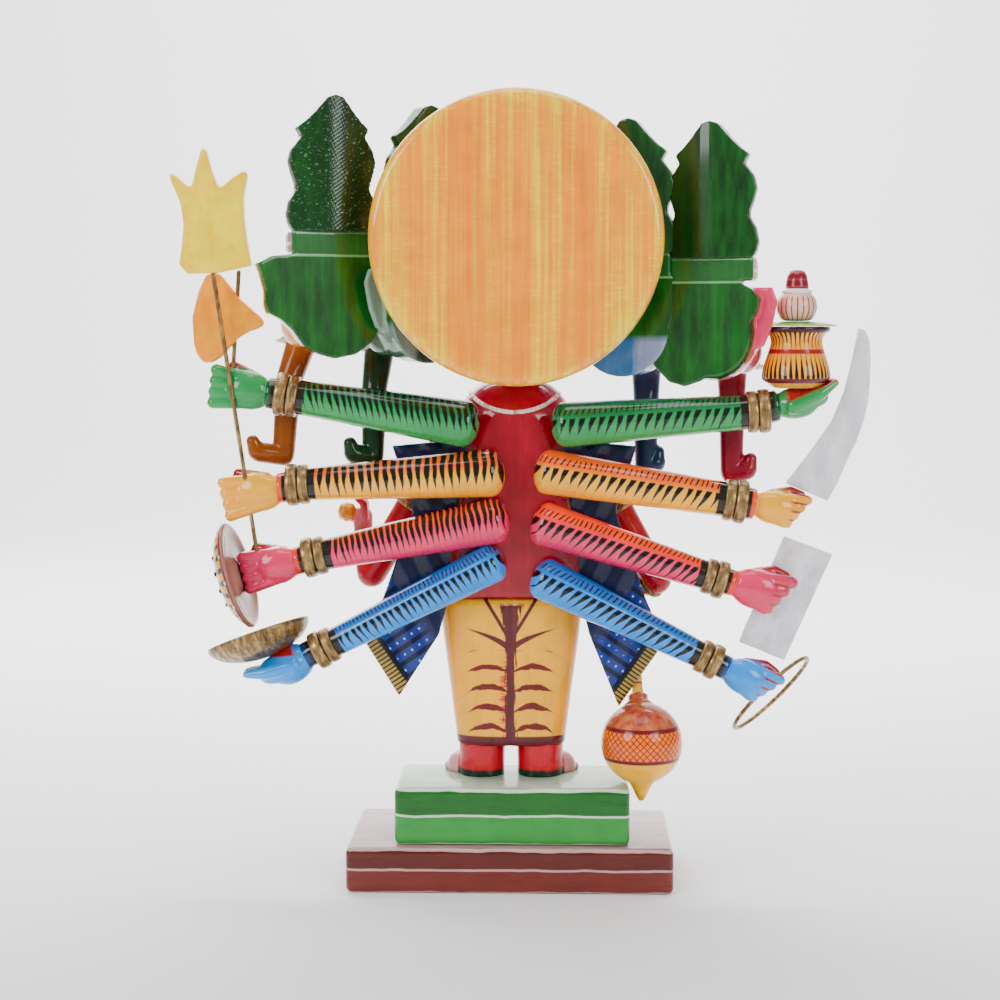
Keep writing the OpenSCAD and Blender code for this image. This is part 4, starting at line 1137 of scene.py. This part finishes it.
def build_trident():
    foot = Vector((FIG_X + 96.6, ARM_Y + 0.5, WAIST_Z + 11))
    neck = Vector((FIG_X + 112.6, ARM_Y + 7, WAIST_Z + 126))
    wire("trident_wire", foot, neck + Vector((0.5, 0.2, 4)), "trident_shaft")
    outline = [(-15, 1), (-3, -1.4), (9, -2), (12, 1.5), (11, 8), (10.2, 16), (11.2, 24), (15.0, 33),
               (15.4, 35.4), (13.4, 34.8), (8.6, 30.5), (7.0, 30.6), (5.4, 37), (3.2, 44.2), (1.6, 44.2),
               (-0.6, 36), (-2.6, 30.6),
               (-4.2, 30.2), (-8, 33.4), (-12.4, 36.2), (-14, 35.2), (-12.2, 27), (-12.4, 18), (-13.6, 9)]
    finish = lacquer("trident enamel", blade_paint("#ffcc00", "#ffe400"), (3, 3, 12))
    outline = [(112.6 + x, 126 + z) for x, z in outline]
    cut_board("trident_board", outline, 6.2, finish, "trident_head", neck.y, 1.0)


def build_axe():
    foot = Vector((FIG_X + 107.4, ARM_Y - 2, WAIST_Z + 76))
    top = Vector((FIG_X + 104, ARM_Y - 2, WAIST_Z + 125))
    wire("axe_wire", foot, top, "axe_shaft")
    outline = [(116.1, 124), (113, 125), (110.6, 124), (106.6, 119), (103.6, 115), (99, 111), (95.1, 107.5),
               (94.4, 105.6), (95.8, 104), (100, 102.6), (104.1, 100.2), (107.8, 96.2), (111.1, 92.6),
               (114.6, 90.8), (117.6, 91), (120, 94), (121.1, 98), (121.6, 108), (119.1, 118)]
    finish = lacquer("axe enamel", blade_paint("#ff9400", "#ffaa00"), (3, 3, 12))
    cut_board("axe_board", outline, 5.0, finish, "axe_head", foot.y, 0.9)


def shield_paint(tree):
    """Rayed dome in yellow, black and maroon with white dots, and a plain brown-pink back."""
    vector, x, y, z = where(tree)
    rays = girth(tree, x, y, 7.0)
    radius = add(tree, "VectorMath", [add(tree, "CombineXYZ", [x, y])], operation="LENGTH", out=1)
    front = add(tree, "MixRGB", [bands(tree, rays, 0.9, 0.42), "#e8b01a", "#1a120c"])
    front = add(tree, "MixRGB", [bands(tree, radius, 3.4, 0.16), front, "#7a1620"])
    dots = add(tree, "Math", [bands(tree, rays, 1.8, 0.12), bands(tree, radius, 2.5, 0.16)],
               operation="MULTIPLY")
    front = add(tree, "MixRGB", [dots, front, "#f2ede2"])
    back = add(tree, "MixRGB", [grain(tree, vector, (12, 12, 3)), "#8a4f42", "#b98a78"])
    return add(tree, "MixRGB", [add(tree, "MapRange", [z, 0.9, 1.1]), back, front])


def build_shield():
    radius, depth = 20.6, 8
    profile = [*arc(radius, depth, 0, 81, 6), (radius, 1.5), (radius, 0.8), (radius - 0.7, 0.1),
               (radius - 2.5, 0.1),
               (radius - 3.5, 0.9), (6, 0.9), (5, 0.1), (0, 0.1)]
    bm = turned(profile, around=96)
    for i in range(12):
        t = math.radians(30 * i + 15)
        ball(bm, (radius * 0.62 * math.cos(t), radius * 0.62 * math.sin(t), depth * 0.8), (1.0, 1.0, 0.5),
             around=12)
    place = (Matrix.Translation(palm_of("arm_pink_left", 22.5)) @ Matrix.Rotation(math.radians(-4), 4, "Z")
             @ Matrix.Rotation(math.radians(106), 4, "Y"))
    piece("shield_disc", bm, lacquer("shield enamel", shield_paint, (9, 9, 2)), ["shield"],
          place)


def build_bowl():
    radius, depth, wall = 20.3, 10, 1.8
    outer = arc(radius, -depth, 0, 85, 5)
    inner = arc(radius - wall, wall - depth, 84, -1, -6)
    bm = turned([*outer, (radius, -0.6), (radius - 0.3, -0.1), (radius - wall + 0.3, -0.1), *inner], around=96)
    place = (Matrix.Translation((FIG_X + 98, ARM_Y - 1, WAIST_Z - 12.4)) @ Matrix.Rotation(math.radians(9), 4, "X")
             @ Matrix.Rotation(math.radians(19.7), 4, "Y"))
    piece("bowl_dish", bm, PAINTS["bronze"], ["bowl"], place)


def pot_paint(tree):
    """Yellow pot with maroon upright strokes, a red waist and maroon lines round mouth and foot."""
    vector, x, y, z = where(tree)
    lean = add(tree, "Math", [z, 0.05, girth(tree, x, y, 12.0)], operation="MULTIPLY_ADD")
    body = add(tree, "MixRGB", [grain(tree, vector, (5, 5, 9)), "#ff8600", "#ffbe00"])
    taper = add(tree, "Math", [add(tree, "Math", [z, 13.8], operation="SUBTRACT")], operation="ABSOLUTE")
    stroke = bands(tree, lean, 1.0, add(tree, "MapRange", [taper, 1.5, 9.0, 0.12, 0.66]))
    body = add(tree, "MixRGB", [stroke, body, "#2a120c"])
    for level, half, tone in ((22.2, 1.3, "#3a1420"), (13.8, 0.8, "#a01a1e"), (2.9, 0.8, "#5e1420")):
        body = add(tree, "MixRGB", [stripe(tree, z, level, half + 0.15, half - 0.1), body, tone])
    return add(tree, "MixRGB", [add(tree, "MapRange", [z, 2.1, 1.8]), body, "#e0a028"])


def leaf_paint(tree):
    """Green leaf, painted yellow-green on its drooping tips and edges as a painted highlight."""
    vector, _, _, z = where(tree)
    green = add(tree, "MixRGB", [grain(tree, vector, (3, 3, 3)), "#23803a", "#4aae50"])
    # Painted highlight: yellow-green where the leaf droops lowest
    return add(tree, "MixRGB", [add(tree, "MapRange", [z, 24.6, 23.6]), green, "#b8c83c"])


def coconut_paint(tree):
    """Cream ball with maroon strokes under a white ring and a maroon cap."""
    vector, x, y, z = where(tree)
    skin = add(tree, "MixRGB", [grain(tree, vector, (3, 3, 3)), "#e7a08a", "#f2cdb4"])
    stroke = bands(tree, girth(tree, x, y, 8.0), 1.2, 0.22)
    stroke = add(tree, "Math", [stroke, add(tree, "MapRange", [z, 9.6, 9.0])], operation="MULTIPLY")
    skin = add(tree, "MixRGB", [stroke, skin, "#8a1f30"])
    skin = add(tree, "MixRGB", [add(tree, "MapRange", [z, 10.4, 10.8]), skin, "#f6f2ec"])
    cap = add(tree, "MixRGB", [bands(tree, z, 1.3, 0.3), "#7c1726", "#a62a38"])
    return add(tree, "MixRGB", [add(tree, "MapRange", [z, 12.0, 12.4]), skin, cap])


def build_pot():
    at = Matrix.Translation((FIG_X - 106.2, ARM_Y - 1, WAIST_Z + 81.4))
    foot = [(0, 0.1), (8.4, 0.1), (9.2, 0.6), (10.6, 1.6), (12.2, 2.6), (12.8, 3.6), (12.9, 4.6)]
    wall = curve_through([(12.9, 4.6), (12.5, 7.5), (11.4, 11), (10.3, 14.5), (9.7, 17), (10.0, 19), (11.2, 20.6)], 5)
    lip = [(12.3, 21.3), (12.6, 22), (12.5, 22.8), (12.1, 23.1), (0, 23.1)]
    bm = turned([*foot, *[tuple(p) for p in wall[1:]], *lip], around=96)
    piece("pot_body", bm, lacquer("pot enamel", pot_paint, (4, 4, 9)), ["pot"], at)
    bm = bmesh.new()
    for i in range(8):
        blade = bmesh.new()
        bmesh.ops.create_grid(blade, x_segments=14, y_segments=6, size=1)
        for v in blade.verts:
            u, w = (v.co.x + 1) / 2, v.co.y
            half = 4.1 * math.sin(math.pi * (0.16 + 0.84 * u) ** 0.8) + 0.15
            droop = 1.3 * u * u + 0.7 * abs(w) * math.sin(math.pi * u)
            v.co = Vector((4 + 10.8 * u, w * half, 25.0 - droop))
        bmesh.ops.solidify(blade, geom=blade.faces[:], thickness=0.5)
        blade.transform(Matrix.Rotation(math.radians(45 * i), 4, "Z"))
        join(bm, blade)
    bmesh.ops.recalc_face_normals(bm, faces=bm.faces)
    piece("pot_leaf_ring", bm, lacquer("leaf enamel", leaf_paint, (2, 2, 2)), ["pot_leaves"], at)
    husk = curve_through([(0, 0.1), (5, 0.4), (7.0, 2.8), (7.6, 5.4), (7.0, 8.4), (5.4, 10.4)], 6)
    cap = [(5.7, 10.9), (5.6, 11.6), (4.4, 11.9), (4.3, 13.4), (4.1, 15.0), (3.7, 17.0), (2.9, 18.6), (1.4, 19.2),
           (0, 19.3)]
    bm = turned([*[tuple(p) for p in husk], *cap], around=64)
    piece("coconut_carving", bm, lacquer("coconut enamel", coconut_paint, (2, 2, 6)), ["coconut"],
          at @ Matrix.Translation((0, 0, 25)))


def pale_paint(tree):
    """Off-white enamel with a lilac cast, thin enough for the brush marks to show."""
    return blotched(tree, where(tree)[0], (6, 6, 14), (0.35, 0.65), "#dcd8e4", "#f2f0f6")


def build_sword_and_book():
    line = [(-103.1, 45.3), (-112, 57), (-120.3, 69), (-124.8, 80), (-127.6, 92), (-130, 104), (-132.6, 103),
            (-134.1, 99.4), (-134.7, 92), (-134.5, 84), (-134, 76.5), (-132.4, 69.1), (-129.8, 61.2),
            (-126.4, 54), (-123, 45.8), (-119.2, 38.5)]
    cut_board("sword_blade", line, 2.3, lacquer("blade enamel", pale_paint, (3, 3, 16), rough=0.2),
              "sword", middle("sword").y, 0.5)
    line = [(-102.9, 25), (-121.3, 18.1), (-103.4, -22.6), (-86.1, -15.6)]
    thick = high("book").y - low("book").y
    cut_board("book_block", line, thick - 0.1, lacquer("page enamel", pale_paint, (2, 2, 2)), "book",
              middle("book").y, 0.6)


def build_noose():
    ring = 19.5
    lean, turn = math.radians(45), math.radians(19.5)
    near = Vector((math.sin(turn) * math.sin(lean), math.cos(turn), math.sin(turn) * math.cos(lean)))
    centre = palm_of("arm_blue_right", 17) - Vector((0, 1, 1)) - ring * near
    bm = turned([(ring + WIRE_R * math.cos(math.radians(t)), WIRE_R * math.sin(math.radians(t)))
                 for t in range(0, 361, 30)], around=144)
    place = Matrix.Translation(centre) @ Matrix.Rotation(lean, 4, "Y") @ Matrix.Rotation(turn, 4, "X")
    piece("noose_wire", bm, PAINTS["bronze"], ["noose"], place)


MACE_R = 15.6


def mace_centre():
    """The middle of the mace's ball, which hangs just clear of the step's edge."""
    return Vector((low("base_step").x - 4.8, BODY_Y + 21, DECK_Z + MACE_R - 0.4))


def mace_hand():
    """Where the right front hand closes round the shaft."""
    return Vector((FIG_X - 45.4, BODY_Y - 11, WAIST_Z - 1))


def mace_axis():
    """The way the mace's shaft points, from its head to the right front hand."""
    return (mace_hand() - mace_centre()).normalized()


def mace_paint(tree):
    """Copper-pink crown, an orange net between maroon lines, and a yellow turnip foot."""
    vector, x, y, z = where(tree)
    turn = girth(tree, x, y, MACE_R)
    crown = blotched(tree, vector, (4, 4, 4), (0.4, 0.65), "#a43a14", "#d07048")
    one = bands(tree, add(tree, "Math", [turn, z], operation="ADD"), 1.3, 0.2)
    two = bands(tree, add(tree, "Math", [turn, z], operation="SUBTRACT"), 1.3, 0.2)
    net = add(tree, "MixRGB", [add(tree, "Math", [one, two], operation="MAXIMUM"), "#ff7200", "#7a2008"])
    ball_skin = add(tree, "MixRGB", [add(tree, "MapRange", [z, 6.4, 6.0]), crown, net])
    foot = add(tree, "MixRGB", [grain(tree, vector, (6, 6, 6)), "#ff9c00", "#ffd400"])
    ball_skin = add(tree, "MixRGB", [add(tree, "MapRange", [z, -5.2, -5.6]), ball_skin, foot])
    for level in (6.6, -5.2):
        ball_skin = add(tree, "MixRGB", [stripe(tree, z, level, 0.8, 0.6), ball_skin, "#6a1420"])
    return ball_skin


def build_mace():
    centre, axis = mace_centre(), mace_axis()
    tail = [(7.6, -13.7), (5.4, -14.7), (4.3, -16.0), (3.1, -18.2), (2.0, -20.6), (1.0, -22.3), (0, -22.5)]
    bm = turned([*arc(MACE_R, MACE_R, 0, 141, 4), *tail], around=96)
    turn = axis.to_track_quat("Z", "Y").to_matrix().to_4x4()
    collar = turned([(0, MACE_R - 4), (6.2, MACE_R - 3), (6.0, MACE_R - 0.6), (4.6, MACE_R + 0.6), (3.8, MACE_R + 2),
                     (3.9, MACE_R + 3.4), (3.2, MACE_R + 4), (0, MACE_R + 4)], around=48)
    collar.transform(turn)
    join(bm, collar)
    piece("mace_ball", bm, lacquer("mace enamel", mace_paint, (5, 5, 3)), ["mace_head"],
          Matrix.Translation(centre))
    reach = (mace_hand() - centre).length + 10
    rings = [(0, MACE_R - 4), (2.3, MACE_R - 4)]
    z = MACE_R + 4
    while z < reach - 4:
        rings += [(2.1, z), (2.35, z + 1.0), (2.1, z + 2.0)]
        z += 6
    bm = turned([*rings, (2.3, reach - 1.2), (1.6, reach - 0.2), (0, reach)], around=32)
    piece("mace_rod", bm, lacquer("mace shaft enamel", shaft_paint, (3, 3, 9)), ["mace_shaft"],
          Matrix.Translation(centre) @ turn)


def shaft_paint(tree):
    """Yellow rod with thin red rings."""
    vector, _, _, z = where(tree)
    ground = add(tree, "MixRGB", [grain(tree, vector, (4, 4, 9)), "#e8a812", "#fad438"])
    return add(tree, "MixRGB", [bands(tree, z, 3.0, 0.12), ground, "#b02020"])


# ---- CAD parts that stay ----

def pine_paint(tree):
    """Planed pine: pale wood with darker growth lines about 3 mm apart."""
    vector = where(tree, shared=True)[0]
    rings = grain(tree, vector, (40, 3, 3), detail=4.0)
    return add(tree, "ValToRGB", [rings], stops=[(0.35, "#b98a54"), (0.5, "#d8b07a"), (0.68, "#e6c794")])


def finish_carried_parts():
    """Gives the plain CAD parts their real finishes."""
    pine = lacquer("planed pine", pine_paint, (40, 2, 2), depth=0.08, rough=0.5, coat=0.0, shared=True)
    red = lacquer("crimson peg enamel", "#a80020", (6, 3, 3), depth=0.08, shared=True)
    steel = bronze("drawn steel wire", shared=True, stops=[(0.3, "#6e7072"), (0.5, "#9a9c9e"), (0.7, "#c4c6c8")])
    for node, finish in (("head_rail", pine), ("halo_block", pine), ("body_dowels", pine),
                         ("arm_pegs", red), ("base_nails", steel)):
        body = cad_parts[node]
        body.data.materials.clear()
        body.data.materials.append(finish)


# ---- floor, light and camera ----

def paper_paint(tree):
    """Matt white paper, a little uneven."""
    cloudy = grain(tree, add(tree, "TexCoord", out="Object"), (0.5, 0.5, 0.5), detail=2.0)
    return add(tree, "MixRGB", [cloudy, "#f8f8f8", "#ffffff"])


def build_stage():
    """A sheet of white paper that runs back under the figure and sweeps up behind it."""
    sweep = 0.7
    back = -1.3
    line = [(3.0, 0), (back, 0), *[(back - out, sweep - up) for out, up in arc(sweep, sweep, 9, 91, 9)],
            (back - sweep, 3.5)]
    bm = bmesh.new()
    verts = [bm.verts.new((-4, y, z)) for y, z in line]
    edges = [bm.edges.new(pair) for pair in zip(verts, verts[1:])]
    made = bmesh.ops.extrude_edge_only(bm, edges=edges)
    bmesh.ops.translate(bm, vec=(8, 0, 0), verts=[v for v in made["geom"] if isinstance(v, bmesh.types.BMVert)])
    bmesh.ops.recalc_face_normals(bm, faces=bm.faces)
    mesh = bpy.data.meshes.new("paper_sweep")
    bm.to_mesh(mesh)
    bm.free()
    if mesh.polygons[0].normal.z < 0:
        mesh.flip_normals()
    mesh.shade_smooth()
    floor = bpy.data.objects.new("paper_sweep", mesh)
    bpy.context.scene.collection.objects.link(floor)
    material = bpy.data.materials.new("white paper")
    material.use_nodes = True
    shader = material.node_tree.nodes["Principled BSDF"]
    material.node_tree.links.new(paper_paint(material.node_tree), shader.inputs["Base Color"])
    shader.inputs["Roughness"].default_value = 0.9
    shader.inputs["Specular IOR Level"].default_value = 0.2
    mesh.materials.append(material)
    world = bpy.data.worlds.new("studio")
    bpy.context.scene.world = world
    world.use_nodes = True
    sky = world.node_tree.nodes["Background"]
    sky.inputs["Color"].default_value = pigment("#ffffff")
    sky.inputs["Strength"].default_value = 0.4
    aim = Vector((0, 0, 0.17))
    for name, at, target, size, power in (
            ("left_softbox", (0.85, 0.9, 0.65), aim, 0.55, 9.5),
            ("right_softbox", (-0.85, 0.95, 0.6), aim, 0.55, 7.5),
            ("top_softbox", (0.0, 0.15, 1.1), aim, 0.6, 5),
            ("far_softbox", (0.5, -0.9, 0.8), aim, 0.6, 6),
            ("backdrop_lamp", (0.0, -0.6, 1.3), Vector((0, -1.8, 0.4)), 1.2, 70)):
        light = bpy.data.lights.new(name, "AREA")
        light.energy = power
        light.size = size
        lamp = bpy.data.objects.new(name, light)
        lamp.location = at
        lamp.rotation_euler = (target - Vector(at)).to_track_quat("-Z", "Y").to_euler()
        bpy.context.scene.collection.objects.link(lamp)


def build_camera():
    """A long lens at the height of the chest, a little to one side."""
    yaw, pitch = math.radians(1.6), math.radians(4.62)
    lens = bpy.data.cameras.new("camera")
    lens.lens = 75
    lens.sensor_width = 36
    camera = bpy.data.objects.new("camera", lens)
    camera.location = (-0.0181, 0.8056, 0.2119)
    forward = Vector((math.sin(yaw) * math.cos(pitch), -math.cos(yaw) * math.cos(pitch), -math.sin(pitch)))
    camera.rotation_euler = forward.to_track_quat("-Z", "Y").to_euler()
    bpy.context.scene.collection.objects.link(camera)
    bpy.context.scene.camera = camera


BRASS = [(0.3, "#3c2e1c"), (0.5, "#86693c"), (0.68, "#c2a068")]
PAINTS = {
    "ivory": lacquer("ivory enamel", "#efe6d2", stroke=(2, 2, 8)),
    "black": lacquer("black enamel", "#14100e", stroke=(2, 2, 8)),
    "bronze": bronze("antique bronze paint", BRASS),
}

build_camera()
build_stage()
build_base()
build_feet()
build_legs()
torso = build_torso()
build_garland(torso)
build_front_arms()
build_scarves()
build_arms()
build_heads()
build_crowns()
build_halo()
build_trident()
build_axe()
build_shield()
build_bowl()
build_pot()
build_sword_and_book()
build_noose()
build_mace()
finish_carried_parts()
